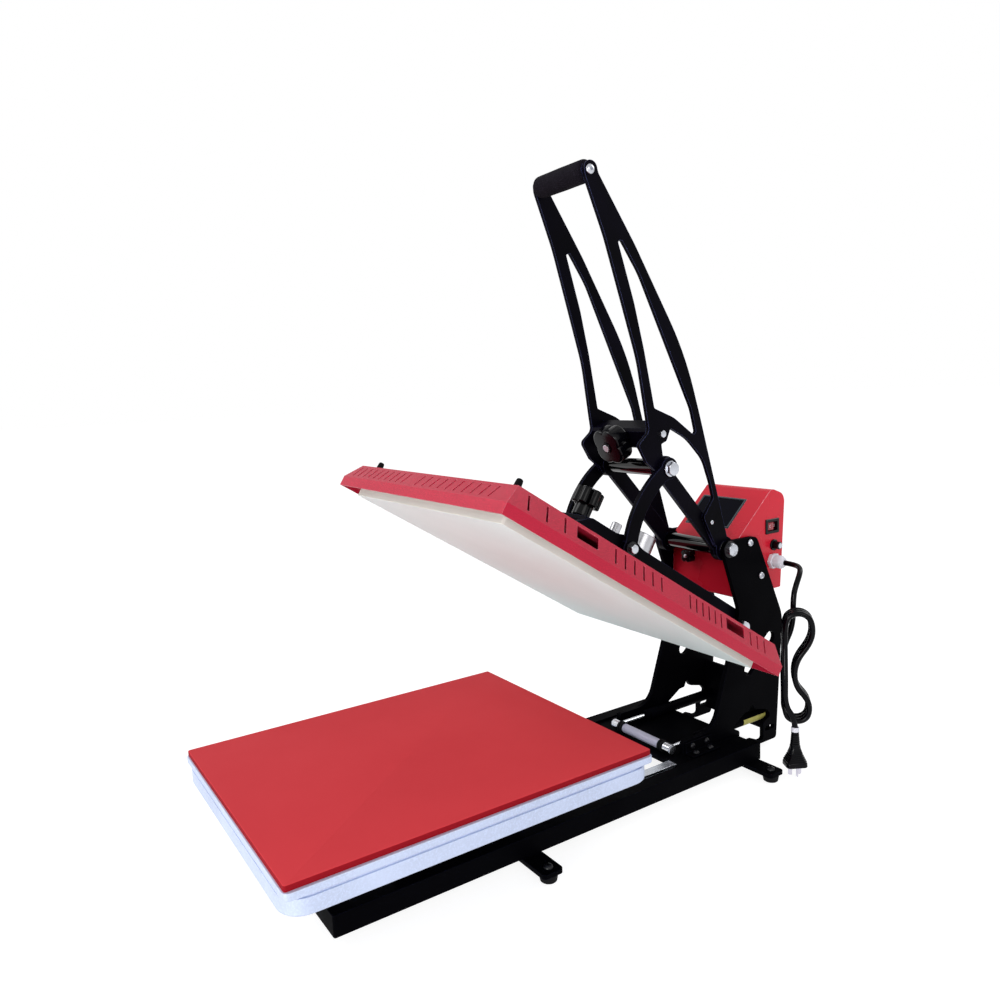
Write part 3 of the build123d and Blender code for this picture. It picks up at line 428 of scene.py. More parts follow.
@dataclass(frozen=True)
class Finish:
    """Finish of a surface: colour with slow mottle, fine grain and a painted highlight along its edges.

    Attributes:
        name: Name of the material.
        rgb: sRGB colour, 0 to 255.
        roughness: Middle roughness.
        metallic: 1 for bare metal.
        specular: Specular level.
        mottle: How far the slow variation darkens the colour.
        mottle_scale: Repeats of the slow variation per metre.
        grain_scale: Repeats of the fine grain per metre.
        grain_depth: Height of the fine grain in metres.
        sparkle: How far the grain's tops lighten the colour.
        wear: Strength of the painted highlight along edges.
        highlight_rgb: sRGB colour of the painted highlight on edges.
        highlight_radius: Width of the painted highlight in metres.
        lines: Stretch of brushed lines along each axis, or None.
        line_depth: Height of the brushed lines in metres.
        coat: Weight of a clear coat.
        coat_roughness: Roughness of the clear coat.
    """

    name: str
    rgb: Point
    roughness: float = 0.5
    metallic: float = 0.0
    specular: float = 0.5
    mottle: float = 0.08
    mottle_scale: float = 14.0
    grain_scale: float = 900.0
    grain_depth: float = 0.00003
    sparkle: float = 0.0
    wear: float = 0.0
    highlight_rgb: Point = (150, 150, 155)
    highlight_radius: float = 0.001
    lines: Point | None = None
    line_depth: float = 0.00001
    coat: float = 0.0
    coat_roughness: float = 0.2

    def material(self) -> bpy.types.Material:
        """Makes the material, or gives it again.

        Returns:
            The material of this finish.
        """
        title = f"{self.name}_finish"
        found = bpy.data.materials.get(title)
        if found is not None:
            return found
        made = bpy.data.materials.new(title)
        made.use_nodes = True
        made.diffuse_color = shade(*self.rgb)
        w = Wiring(made.node_tree)
        skin = made.node_tree.nodes["Principled BSDF"]
        for title, value in (("Metallic", self.metallic), ("Specular IOR Level", self.specular),
                             ("Coat Weight", self.coat), ("Coat Roughness", self.coat_roughness)):
            skin.inputs[title].default_value = value
        place = w.placed()
        slow = w.group(MOTTLE, place, {
            "Scale": self.mottle_scale, "Colour A": shade(*self.rgb),
            "Colour B": shade(*self.rgb, factor=1.0 - self.mottle), "Roughness": self.roughness,
            "Spread": ROUGHNESS_SPREAD,
        })
        colour, rough = slow.outputs["Colour"], slow.outputs["Roughness"]
        grain = w.group(GRAIN, place, {"Scale": self.grain_scale})
        height, depth = grain.outputs["Height"], self.grain_depth
        if self.sparkle:
            colour = w.blend(grain.outputs["Mask"], colour, shade(*self.rgb, factor=1.0 + self.sparkle))
        # Painted highlight: the edges get a lighter colour.
        if self.wear:
            lit_edge = w.group(EDGE_HIGHLIGHT, place, {"Amount": self.wear, "Radius": self.highlight_radius})
            colour = w.blend(lit_edge.outputs["Mask"], colour, shade(*self.highlight_rgb))
        if self.lines is not None:
            brushed = w.group(BRUSHED, w.placed(self.lines), {"Roughness": self.roughness})
            rough = brushed.outputs["Roughness"]
            height, depth = brushed.outputs["Height"], self.line_depth
        w.join(colour, skin.inputs["Base Color"])
        w.join(rough, skin.inputs["Roughness"])
        bump = w.node("ShaderNodeBump")
        bump.inputs["Strength"].default_value = 1.0
        bump.inputs["Distance"].default_value = depth
        w.join(height, bump.inputs["Height"])
        w.join(bump.outputs["Normal"], skin.inputs["Normal"])
        return made


# The lighter edge colours in these finishes are painted highlights along edges.
BLACK_ENAMEL = Finish("black_enamel", (8, 6, 17), roughness=0.4, specular=0.03, mottle=0.85, mottle_scale=11,
                      grain_scale=700, grain_depth=0.00002, wear=0.75, highlight_rgb=(84, 90, 138))
TUBE_BLACK = Finish("tube_black", (3, 3, 5), roughness=0.1, specular=0.35, mottle=0.2, grain_scale=700,
                    grain_depth=0.000003, coat=0.5, coat_roughness=0.03)
BASE_BLACK = Finish("base_black", (3, 3, 6), roughness=0.55, specular=0.015, mottle=0.3, grain_scale=700,
                    grain_depth=0.00002, wear=0.25, highlight_rgb=(44, 48, 74))
BLACK_RUBBER = Finish("black_rubber", (9, 9, 12), roughness=0.75, specular=0.12, mottle=0.2, grain_scale=1500)
FOAM = Finish("grip_foam", (13, 10, 16), roughness=0.9, specular=0.08, mottle=0.35, mottle_scale=60,
              grain_scale=1300, grain_depth=0.00025, sparkle=2.5)
DARK_OXIDE = Finish("dark_oxide", (12, 12, 18), roughness=0.35, specular=0.3, mottle=0.2)
ZINC = Finish("zinc_steel", (205, 208, 216), roughness=0.28, metallic=1.0, mottle=0.15, mottle_scale=60,
              lines=(1, 14, 14), line_depth=0.000006)
RAIL_STEEL = Finish("rail_steel", (216, 222, 232), roughness=0.24, metallic=1.0, mottle=0.12,
                    lines=(40, 1, 40), line_depth=0.000008)
TURNED = Finish("turned_steel", (200, 200, 205), roughness=0.33, metallic=1.0, mottle=0.1,
                lines=(10, 10, 400), line_depth=0.000008)
CHROME = Finish("chrome", (228, 230, 236), roughness=0.08, metallic=1.0, mottle=0.05, grain_depth=0.000002)
ROLLER = Finish("roller_sleeve", (186, 184, 204), roughness=0.35, specular=0.5, mottle=0.12, mottle_scale=30,
                lines=(1, 30, 30), line_depth=0.00001)
CAST = Finish("cast_aluminium", (203, 214, 240), roughness=0.5, metallic=0.35, mottle=0.16, mottle_scale=9,
              grain_scale=420, grain_depth=0.00005, sparkle=0.02, wear=0.6, highlight_rgb=(240, 244, 252))
# Darker red of the pad's sides: painted shade.
SILICONE_SHADED_SIDE = Finish("red_silicone_painted_shade", (146, 16, 28), roughness=0.7, specular=0.08, mottle=0.05)
SILICONE = Finish("red_silicone", (208, 60, 66), roughness=0.7, specular=0.08, mottle=0.05, mottle_scale=5,
                  grain_scale=1800, grain_depth=0.00003)
COATING = Finish("plate_coating", (230, 243, 240), roughness=0.6, specular=0.2, mottle=0.04, mottle_scale=6,
                 grain_scale=1600, grain_depth=0.00001)
PLATE_EDGE = Finish("plate_edge", (236, 236, 226), roughness=0.5, specular=0.3, mottle=0.1,
                    grain_scale=600, lines=(1, 1, 60), line_depth=0.00001)
FIBRE = Finish("insulation_fibre", (84, 52, 52), roughness=0.95, specular=0.1, mottle=0.25, mottle_scale=60,
               grain_scale=500, grain_depth=0.0004)
RED_ENAMEL = Finish("red_powder_coat", (172, 25, 52), roughness=0.36, specular=0.22, mottle=0.12,
                    mottle_scale=10, grain_scale=1000, grain_depth=0.0001, sparkle=0.6, wear=0.9,
                    highlight_rgb=(250, 190, 202), highlight_radius=0.0003)
BOX_RED = Finish("box_red", (214, 30, 52), roughness=0.3, specular=0.25, mottle=0.1, mottle_scale=8,
                 grain_scale=900, grain_depth=0.00003, wear=0.9, highlight_rgb=(252, 190, 200),
                 highlight_radius=0.0018)
BLACK_PLASTIC = Finish("black_plastic", (4, 4, 8), roughness=0.17, specular=0.18, mottle=0.15,
                       grain_scale=1400)
ROCKER_RED = Finish("rocker_red", (150, 20, 42), roughness=0.2, specular=0.5, mottle=0.1, coat=0.4)
MARK_WHITE = Finish("rocker_mark", (225, 190, 195), roughness=0.5, mottle=0.05)
GLASS_DARK = Finish("display_glass", (3, 4, 20), roughness=0.15, specular=0.04, mottle=0.6, mottle_scale=22,
                    grain_depth=0.000001)
BEZEL_GREY = Finish("display_bezel", (52, 66, 72), roughness=0.4, mottle=0.2)
NYLON = Finish("white_nylon", (232, 232, 240), roughness=0.42, specular=0.4, mottle=0.05, grain_scale=1500)
CORD_BLACK = Finish("cord_sheath", (3, 3, 7), roughness=0.16, specular=0.12, mottle=0.15, grain_scale=1500)
BAND_YELLOW = Finish("yellow_band", (196, 190, 96), roughness=0.5, mottle=0.25, mottle_scale=90)
PIN_METAL = Finish("nickel_pins", (215, 212, 225), roughness=0.2, metallic=1.0, mottle=0.1)

SLOT_FINISH = {
    "black_enamel": BLACK_ENAMEL, "black_rubber": BLACK_RUBBER, "zinc_steel": ZINC, "rail_steel": RAIL_STEEL,
    "chrome": CHROME, "roller_grey": ROLLER, "cast_aluminium": CAST, "red_silicone": SILICONE,
    "plate_coating": COATING, "insulation": FIBRE, "red_enamel": RED_ENAMEL, "black_plastic": BLACK_PLASTIC,
    "rocker_red": ROCKER_RED, "display_glass": GLASS_DARK, "white_nylon": NYLON, "cord_black": CORD_BLACK,
    "pin_metal": PIN_METAL,
}
SLOT_OF = {row["node"]: row["material_slot"] for row in frame["record"]["subparts"]}
BODY_OF = {name: node["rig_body"] for name, node in frame["nodes"].items()}


# Surfaces


@dataclass
class Axis:
    """Line that a turned or carried shape stands on.

    Attributes:
        origin: Point where the height along the axis is 0.
        along: Direction of the axis.
        start: Direction of angle 0, made square to the axis.
    """

    origin: Point
    along: Point = (0.0, 0.0, 1.0)
    start: Point = (1.0, 0.0, 0.0)

    def basis(self) -> np.ndarray:
        """Directions of the axis: the cross product of the axis and the start gives the third.

        Returns:
            Array of three rows: the start direction, the one square to it, and the axis.
        """
        up = np.array(self.along, float)
        up /= np.linalg.norm(up)
        first = np.array(self.start, float)
        first -= up * first.dot(up)
        if np.linalg.norm(first) < 1e-6:
            first = np.array((0.0, 1.0, 0.0)) - up * up[1]
        first /= np.linalg.norm(first)
        return np.stack([first, np.cross(up, first), up])

    def place(self, local: np.ndarray) -> np.ndarray:
        """Turns local points into points of the press.

        Args:
            local: Array of points, last axis being start, square and height.

        Returns:
            Points in the shared frame, in metres.
        """
        return local @ self.basis() + np.array(self.origin, float)


@dataclass
class Shape:
    """Mesh under construction, made of grids of points, each with its own finish."""

    name: str
    points: list[np.ndarray] = field(default_factory=list)
    faces: list[list[int]] = field(default_factory=list)
    finishes: list[int] = field(default_factory=list)
    palette: list[Finish] = field(default_factory=list)
    count: int = 0

    def grid(self, points: np.ndarray, finish: Finish, ring: Ring = Ring.OPEN, wrap: bool = True) -> "Shape":
        """Adds a surface: rows follow each other, and the points of a row go round.

        Args:
            points: Array of rows by columns by 3.
            finish: Finish of the surface.
            ring: Which ends are closed with a flat face.
            wrap: True where each row is a closed ring.

        Returns:
            This shape.
        """
        rows, columns = points.shape[:2]
        index = np.arange(rows * columns).reshape(rows, columns) + self.count
        beside = np.roll(index, -1, axis=1) if wrap else index[:, 1:]
        here = index if wrap else index[:, :-1]
        quads = np.stack([here[:-1], beside[:-1], beside[1:], here[1:]], axis=-1).reshape(-1, 4)
        new = quads.tolist()
        if ring in (Ring.BOTH, Ring.START):
            new.append(index[0][::-1].tolist())
        if ring in (Ring.BOTH, Ring.END):
            new.append(index[-1].tolist())
        if finish not in self.palette:
            self.palette.append(finish)
        self.points.append(points.reshape(-1, 3))
        self.faces += new
        self.finishes += [self.palette.index(finish)] * len(new)
        self.count += rows * columns
        return self

    def rings(self, axis: Axis, radius: np.ndarray, height: np.ndarray, finish: Finish,
              ring: Ring = Ring.BOTH) -> "Shape":
        """Adds rings one above the other: a point is its radius times the cosine and sine of its angle.

        Args:
            axis: Axis of the rings.
            radius: Radius of each point in millimetres, one row for each ring.
            height: Height of each ring in millimetres.
            finish: Finish of the surface.
            ring: Which ends are closed.

        Returns:
            This shape.
        """
        angle = np.arange(radius.shape[1]) * TURN / radius.shape[1]
        level = np.broadcast_to(height[:, None], radius.shape)
        local = np.stack([radius * np.cos(angle), radius * np.sin(angle), level], axis=-1)
        return self.grid(axis.place(local * MM), finish, ring)

    def turned(self, axis: Axis, profile: Sequence[Spot], finish: Finish, sides: int = 40,
               ring: Ring = Ring.BOTH) -> "Shape":
        """Adds a turned surface: each (radius, height) of the profile is carried round the axis.

        Args:
            axis: Axis of the turned shape.
            profile: Radius and height of each ring in millimetres.
            finish: Finish of the surface.
            sides: Points round each ring.
            ring: Which ends are closed.

        Returns:
            This shape.
        """
        radius, height = (np.array(column, float) for column in zip(*profile))
        return self.rings(axis, np.repeat(radius[:, None], sides, axis=1), height, finish, ring)

    def carried(self, axis: Axis, outline: Outline, levels: Sequence[Spot], finish: Finish,
                sides: int = 96) -> "Shape":
        """Adds a closed surface whose ring at each level is an outline drawn in by an inset.

        Args:
            axis: Axis of the shape.
            outline: Radius in millimetres as a function of the angle.
            levels: Inset and height of each level in millimetres.
            finish: Finish of the surface.
            sides: Points round each ring.

        Returns:
            This shape.
        """
        inset, height = (np.array(column, float) for column in zip(*levels))
        radius = outline(np.arange(sides) * TURN / sides) - inset[:, None]
        return self.rings(axis, radius, height, finish)

    def mesh(self) -> bpy.types.Mesh:
        """Joins the grids into one mesh with its materials.

        Returns:
            The mesh.
        """
        made = bpy.data.meshes.new(self.name)
        made.from_pydata(np.concatenate(self.points).tolist(), [], self.faces)
        for finish in self.palette:
            made.materials.append(finish.material())
        made.polygons.foreach_set("material_index", np.array(self.finishes, dtype=np.int32))
        work = bmesh.new()
        work.from_mesh(made)
        bmesh.ops.recalc_face_normals(work, faces=work.faces)
        work.to_mesh(made)
        work.free()
        smooth(made)
        made.update()
        return made

    def piece(self, *nodes: str, body: str | None = None, slot: str | None = None) -> bpy.types.Object:
        """Makes the piece and lets it stand for CAD nodes.

        Args:
            *nodes: CAD nodes that it replaces.
            body: Body that it rides on, where it replaces none.
            slot: Not used.

        Returns:
            The new object.
        """
        made = added(self.name, self.mesh())
        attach(made, body or BODY_OF[nodes[0]])
        if nodes:
            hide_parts(*nodes)
        LOG.info("%s: %d faces", self.name, len(made.data.polygons))
        return made


def hexagon(flats: float) -> Outline:
    """Outline of a hexagon: half its width over the cosine of the angle from the nearest flat."""
    return lambda angle: flats / 2 / np.cos((angle % (TURN / 6)) - TURN / 12)


def fluted(radius: float, depth: float, count: int, share: float) -> Outline:
    """Outline of a grooved round: drawn in by the depth where sin(count * angle) is over the share."""
    return lambda angle: radius - depth * (np.sin(angle * count) > share)


def lobes(count: int, lobe_r: float, pitch_r: float, core_r: float) -> Outline:
    """Outline of a lobed knob: the farther of the core circle and the nearest lobe's circle.

    Args:
        count: Number of lobes.
        lobe_r: Radius of a lobe.
        pitch_r: Radius of the circle of lobe centres.
        core_r: Radius of the core.

    Returns:
        The radius as a function of the angle.
    """

    def radius(angle: np.ndarray) -> np.ndarray:
        """Radius at each angle, with the corners between core and lobes softened."""
        step = TURN / count
        off = (angle + step / 2) % step - step / 2
        under = lobe_r ** 2 - (pitch_r * np.sin(off)) ** 2
        reach = np.where(under > 0, pitch_r * np.cos(off) + np.sqrt(np.maximum(under, 0)), 0)
        hard = np.maximum(reach, core_r)
        soft = (reach ** 8 + core_r ** 8) ** (1 / 8)
        return np.minimum(0.5 * hard + 0.5 * soft, hard + 0.6)

    return radius


def round_over(edge: float, steps: int = 4) -> list[Spot]:
    """Insets and drops of a quarter circle that leads from a wall to the top above it."""
    turn = np.linspace(0, math.pi / 2, steps + 1)
    return [(edge * (1 - math.cos(t)), edge * (1 - math.sin(t))) for t in turn]


def rounded(low: float, high: float, edge: float, steps: int = 4) -> list[Spot]:
    """Insets and heights of a wall between two levels with rounded edges.

    Args:
        low: Lower level.
        high: Upper level.
        edge: Radius of the edges.
        steps: Steps of each rounding.

    Returns:
        Inset and height of each level.
    """
    corner = round_over(edge, steps)
    return [(drop, low + inset) for inset, drop in corner] + [(inset, high - drop) for inset, drop in corner]


def box_ring(width: float, depth: float, radius: float, corner: int = 6) -> np.ndarray:
    """Points round a rectangle with round corners: a quarter circle about each corner's centre.

    Args:
        width: Size along the start direction.
        depth: Size square to it.
        radius: Radius of the corners.
        corner: Steps of each corner.

    Returns:
        Array of points, two numbers each.
    """
    quarter = np.linspace(0, math.pi / 2, corner + 1)
    wide, deep = width / 2 - radius, depth / 2 - radius
    ring = []
    for step, (sx, sy) in enumerate([(1, 1), (-1, 1), (-1, -1), (1, -1)]):
        angle = quarter + step * math.pi / 2
        x, y = sx * wide + radius * np.cos(angle), sy * deep + radius * np.sin(angle)
        ring.append(np.stack([x, y], axis=-1))
    return np.concatenate(ring)


def box_loft(axis: Axis, sections: Sequence[tuple[float, float, float, float]]) -> np.ndarray:
    """Rounded rectangles one above the other.

    Args:
        axis: Axis of the shape.
        sections: Width, depth, corner radius and height of each section in millimetres.

    Returns:
        Array of points, one row for each section.
    """
    rows = []
    for width, depth, radius, height in sections:
        ring = box_ring(width, depth, radius)
        rows.append(np.concatenate([ring, np.full((len(ring), 1), height)], axis=1))
    return axis.place(np.stack(rows) * MM)


# Places shared by the classes


@dataclass(frozen=True)
class Places:
    """Pivots and levels of the press in millimetres, as the solids have them.

    Attributes:
        low: Y and Z of the head's pivot in the side plates.
        main: Y and Z of the lever's pivot.
        upper: Y and Z of the coupler's pivot on the lever.
        grip: Y and Z of the grip.
        block: Y and Z of the cross block, where the pressure knob starts.
        block_bolt: Y and Z of the cross block's bolts.
        lever_screw: Y and Z of the lever's small screws.
        link: Distance to the rear and level of the link pins on the open head.
        clamp_u: Distance to the rear of the clamp stud on the open head.
        head_y: Y of the head's own origin when it is shut.
        face_z: Z of the plate's face when it is shut.
        tilt: Angle of the open head in degrees.
        foot_x: Distance of the feet from the middle.
        foot_ys: Y of the feet.
    """

    low: Spot = (354.0, 222.2)
    main: Spot = (325.0, 358.0)
    upper: Spot = (196.0, 500.0)
    grip: Spot = (69.0, 922.5)
    block: Spot = (182.0, 552.0)
    block_bolt: Spot = (189.0, 552.5)
    lever_screw: Spot = (295.5, 404.7)
    link: Spot = (57.3, 87.7)
    clamp_u: float = 6.0
    head_y: float = 5.4
    face_z: float = 148.5
    tilt: float = 32.19
    foot_x: float = 163.0
    foot_ys: Spot = (-119.0, 319.0)

    def open_head(self, x: float, u: float, n: float) -> Point:
        """Point of the open head: turned about the low pivot by the tilt.

        Args:
            x: Distance from the middle.
            u: Distance to the rear on the shut head.
            n: Level above the plate's face on the shut head.

        Returns:
            The point in metres.
        """
        y, z = self.head_y + u - self.low[0], self.face_z + n - self.low[1]
        c, s = math.cos(math.radians(self.tilt)), math.sin(math.radians(self.tilt))
        return metres(x, self.low[0] + y * c + z * s, self.low[1] - y * s + z * c)

    @property
    def head_up(self) -> Point:
        """Direction square to the open head."""
        return 0.0, math.sin(math.radians(self.tilt)), math.cos(math.radians(self.tilt))


PLACES = Places()


def across(spot: Spot, side: Side = Side.RIGHT) -> Axis:
    """Axis along X that starts in the middle, at a Y and Z, and points outwards."""
    return Axis(metres(0.0, *spot), (side.value, 0.0, 0.0), (0.0, 0.0, 1.0))


def upright(x: float, y: float, side: Side) -> Axis:
    """Axis along Z that starts on the floor, on one side of the press."""
    return Axis(metres(side.value * x, y, 0.0))


def on_head(x: float, u: float, n: float) -> Axis:
    """Axis square to the open head that starts at a point of it."""
    return Axis(PLACES.open_head(x, u, n), PLACES.head_up)


# Sub-assemblies


@dataclass
class Dresser:
    """Copies CAD nodes with softened edges and gives them their finishes.

    Attributes:
        merge: Points nearer than this are one, in metres.
        flat: Faces that turn less than this are joined, in degrees.
        bevel_angle: Edges that turn further than this are softened, in degrees.
        widths: Width of the softened edges of each node in millimetres.
        finishes: Finish of a node where it isn't its slot's own.
    """

    merge: float = 2e-6
    flat: float = 0.4
    bevel_angle: float = 35.0
    widths: dict[str, float] = field(default_factory=lambda: {
        "base_frame": 0.8, "rear_deck": 0.6, "foot_bars": 0.8, "slide_rails": 0.4, "bearing_blocks": 0.6,
        "drawer_carriage": 0.6, "side_plate_left": 0.7, "side_plate_right": 0.7, "rear_cross_plate": 0.5,
        "foot_angles": 0.6, "main_pivot_tube": 0.8, "handle_plates": 0.7, "crank_arms": 0.8,
        "upper_pivot_tube": 0.8, "coupler_arms": 1.0, "cross_block": 0.8, "carrier_bars": 1.0,
        "carrier_plate": 0.7, "standoffs": 0.5, "control_box": 0.7, "cover_shell": 0.5, "lower_table": 0.9,
        "heat_plate": 0.6, "pressure_stud": 0.6, "grip_core": 0.5, "gas_spring_rods": 0.4,
    })
    finishes: dict[str, Finish] = field(default_factory=lambda: {
        "control_box": BOX_RED, "base_frame": BASE_BLACK, "rear_deck": BASE_BLACK, "foot_bars": BASE_BLACK,
        "drawer_carriage": BASE_BLACK, "side_plate_left": BASE_BLACK, "side_plate_right": BASE_BLACK,
        "rear_cross_plate": BASE_BLACK, "foot_angles": BASE_BLACK, "gas_spring_cylinders": BASE_BLACK,
        "main_pivot_tube": TUBE_BLACK, "upper_pivot_tube": TUBE_BLACK,
    })

    def finish_of(self, node: str) -> Finish:
        """Finish of a node."""
        return self.finishes.get(node, SLOT_FINISH[SLOT_OF[node]])

    def copy(self, node: str, width: float) -> bpy.types.Object:
        """Makes the softened copy of a node.

        Args:
            node: Name of the CAD node.
            width: Width of the softened edges in millimetres.

        Returns:
            The copy, which stands for the node.
        """
        mesh = frame["nodes"][node].data.copy()
        mesh.materials.clear()
        mesh.materials.append(self.finish_of(node).material())
        work = bmesh.new()
        work.from_mesh(mesh)
        bmesh.ops.remove_doubles(work, verts=work.verts, dist=self.merge)
        flat = math.radians(self.flat)
        bmesh.ops.dissolve_limit(work, angle_limit=flat, verts=work.verts, edges=work.edges)
        work.to_mesh(mesh)
        work.free()
        mesh.polygons.foreach_set("material_index", np.zeros(len(mesh.polygons), dtype=np.int32))
        smooth(mesh)
        made = added(f"dressed_{node}", mesh)
        edge = made.modifiers.new("soft_edges", "BEVEL")
        edge.width = width * MM
        edge.segments = 2
        edge.limit_method = "ANGLE"
        edge.angle_limit = math.radians(self.bevel_angle)
        edge.use_clamp_overlap = True
        edge.harden_normals = True
        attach(made, BODY_OF[node])
        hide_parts(node)
        return made

    def build(self) -> None:
        """Dresses every node: a softened copy where one is listed, else only a finish."""
        for node, piece in frame["nodes"].items():
            finish = self.finish_of(node)
            if node in self.widths:
                self.copy(node, self.widths[node])
            else:
                piece.data.materials.clear()
                piece.data.materials.append(finish.material())
            LOG.info("%s: %s", node, finish.name)


def refinish_sides(mesh: bpy.types.Mesh, up: Point, limit: float, finish: Finish) -> None:
    """Gives the side faces of a slab a finish of their own: a darker red as painted shade on the pad, the
    bare metal on the heating plate.

    Args:
        mesh: Mesh of the slab, with one material.
        up: Direction that the slab's faces look in.
        limit: Faces that lean further than this cosine from that direction are sides.
        finish: Finish of the sides.
    """
    mesh.materials.append(finish.material())
    normals = np.zeros(len(mesh.polygons) * 3)
    mesh.polygons.foreach_get("normal", normals)
    lean = np.abs(normals.reshape(-1, 3) @ np.array(up))
    mesh.polygons.foreach_set("material_index", (lean < limit).astype(np.int32))


@dataclass
class PressPad:
    """Silicone pad on the lower table: a slab with softened edges.

    Attributes:
        centre: Middle of the pad's underside.
        width: Size along X.
        length: Size along Y.
        thickness: Height of the slab.
        corner: Radius of its corners seen from above.
        edge: Radius of its lower and upper edges.
        side_normal: Faces that lean further than this cosine are its sides, which get a darker red as painted
            shade.
    """

    centre: Point = (0.0, -221.0, 140.2)
    width: float = 400.0
    length: float = 500.0
    thickness: float = 7.8
    corner: float = 3.0
    edge: float = 1.0
    side_normal: float = 0.4

    def build(self) -> None:
        """Makes the slab: rounded rectangles that follow a quarter circle at the lower and upper edge."""
        sections = [
            (self.width - 2 * inset, self.length - 2 * inset, max(self.corner - inset, 0.6), height)
            for inset, height in rounded(0.0, self.thickness, self.edge)
        ]
        slab = box_loft(Axis(metres(*self.centre)), sections)
        pad = Shape("press_pad").grid(slab, SILICONE, Ring.BOTH).piece("silicone_pad")
        # The sides get a darker red: painted shade.
        refinish_sides(pad.data, (0.0, 0.0, 1.0), self.side_normal, SILICONE_SHADED_SIDE)


@dataclass
class HeatingHead:
    """Heating head's knob, stud, cylinders and pegs, in millimetres above the plate's face.

    Attributes:
        edge_normal: Faces of the plate that lean further than this cosine are its edges.
        star_seat: Level of the star knob's underside.
        star_neck: Radius of the star knob's neck.
        cylinders: Distance to the rear, radius and height of each cylinder.
        cylinder_seat: Level that the cylinders stand on.
        thread: Lowest level of the thread, its length, and the step between crest and root.
        thread_r: Radius of the thread's crests.
        nut_flats: Width of the clamp nut.
        nut: Inset and level of each ring of the clamp nut.
        peg: Distance from the middle, distance to the rear and level of a peg.
        peg_profile: Radius and height of each ring of a peg.
    """

    edge_normal: float = 0.9
    star_seat: float = 107.3
    star_neck: float = 14.0
    cylinders: tuple[Point, ...] = ((141.0, 21.0, 40.0), (80.0, 8.5, 32.0))
    cylinder_seat: float = 98.0
    thread: Point = (46.0, 62.5, 0.5)
    thread_r: float = 5.0
    nut_flats: float = 19.0
    nut: tuple[Spot, ...] = ((1.2, 98.0), (0.0, 98.8), (0.0, 106.2), (1.2, 106.9))
    peg: Point = (185.0, -242.0, 46.0)
    peg_profile: tuple[Spot, ...] = ((6.0, 0.0), (6.0, 1.5), (5.2, 2.2), (4.3, 11.5), (3.8, 13.0),
                                     (2.6, 13.9))

    def plate(self) -> None:
        """Gives the dressed plate's edges the bare metal, and leaves its faces their coating."""
        dressed = bpy.data.objects["dressed_heat_plate"]
        refinish_sides(dressed.data, PLACES.head_up, self.edge_normal, PLATE_EDGE)

    def star_knob(self) -> None:
        """Six-lobed knob on its neck, with the end of the stud."""
        axis = on_head(0.0, PLACES.clamp_u, self.star_seat)
        shape = Shape("star_knob_body")
        shape.turned(axis, [(self.star_neck - inset, h) for inset, h in rounded(0, 19, 1.5)], BLACK_PLASTIC)
        shape.carried(axis, lobes(6, 7.5, 15.0, 15.0), rounded(18, 44, 2.5), BLACK_PLASTIC, 144)
        shape.turned(axis, [(5.0, 43.0), (5.0, 47.0), (4.2, 47.8)], ZINC, 24)
        shape.piece("star_knob")

    def cylinder_pair(self) -> None:
        """Turned cylinders on the carrier plate, with a rounded rim and a waist near the foot."""
        shape = Shape("head_cylinder_pair")
        for u, radius, height in self.cylinders:
            axis = on_head(0.0, u, self.cylinder_seat)
            waist = radius - 0.7
            wall = [(radius - 0.8, 0.0), (radius, 0.8), (radius, 5.0), (waist, 5.5), (waist, 6.7),
                    (radius, 7.2), (radius, height - 2.2)]
            wall += [(radius - inset, height - drop) for inset, drop in round_over(2.0)]
            shape.turned(axis, wall, TURNED, 56)
            shape.turned(axis, [(radius * 0.55, height - 0.02), (radius * 0.5, height + 0.25)], TURNED)
        shape.piece("head_cylinders")

    def clamp(self) -> None:
        """Threaded stud with its nut under the star knob: the radius steps between crest and root."""
        axis = on_head(0.0, PLACES.clamp_u, 0.0)
        start, length, step = self.thread
        levels = start + np.arange(0, length, step)
        thread = [(self.thread_r - 0.25 * (i % 2), level) for i, level in enumerate(levels)]
        shape = Shape("clamp_stud_and_nut").turned(axis, thread, ZINC, 28)
        shape.carried(axis, hexagon(self.nut_flats), self.nut, ZINC, 72)
        shape.piece("clamp_stud")

    def pegs(self) -> None:
        """Turned rubber pegs on the cover's front corners."""
        shape = Shape("cover_peg_pair")
        x, u, n = self.peg
        for side in Side:
            shape.turned(on_head(side.value * x, u, n), self.peg_profile, BLACK_RUBBER, 32)
        shape.piece("cover_pegs")

    def build(self) -> None:
        """Makes all the head's own pieces."""
        self.plate()
        self.star_knob()
        self.cylinder_pair()
        self.clamp()
        self.pegs()


@dataclass(frozen=True)
class Bolt:
    """Bolt or screw, each part as its width, its lower and its upper level in millimetres along the axis.

    Attributes:
        head: Head, by its width across the flats or its diameter.
        shank: Plain part, where it shows.
        washer: Washer, where there is one.
        domed: True for a domed head with a socket, False for a hexagon head.
        head_finish: Finish of a domed head.
        washer_finish: Finish of the washer.
    """

    head: Span
    shank: Span | None = None
    washer: Span | None = None
    domed: bool = False
    head_finish: Finish = ZINC
    washer_finish: Finish = ZINC


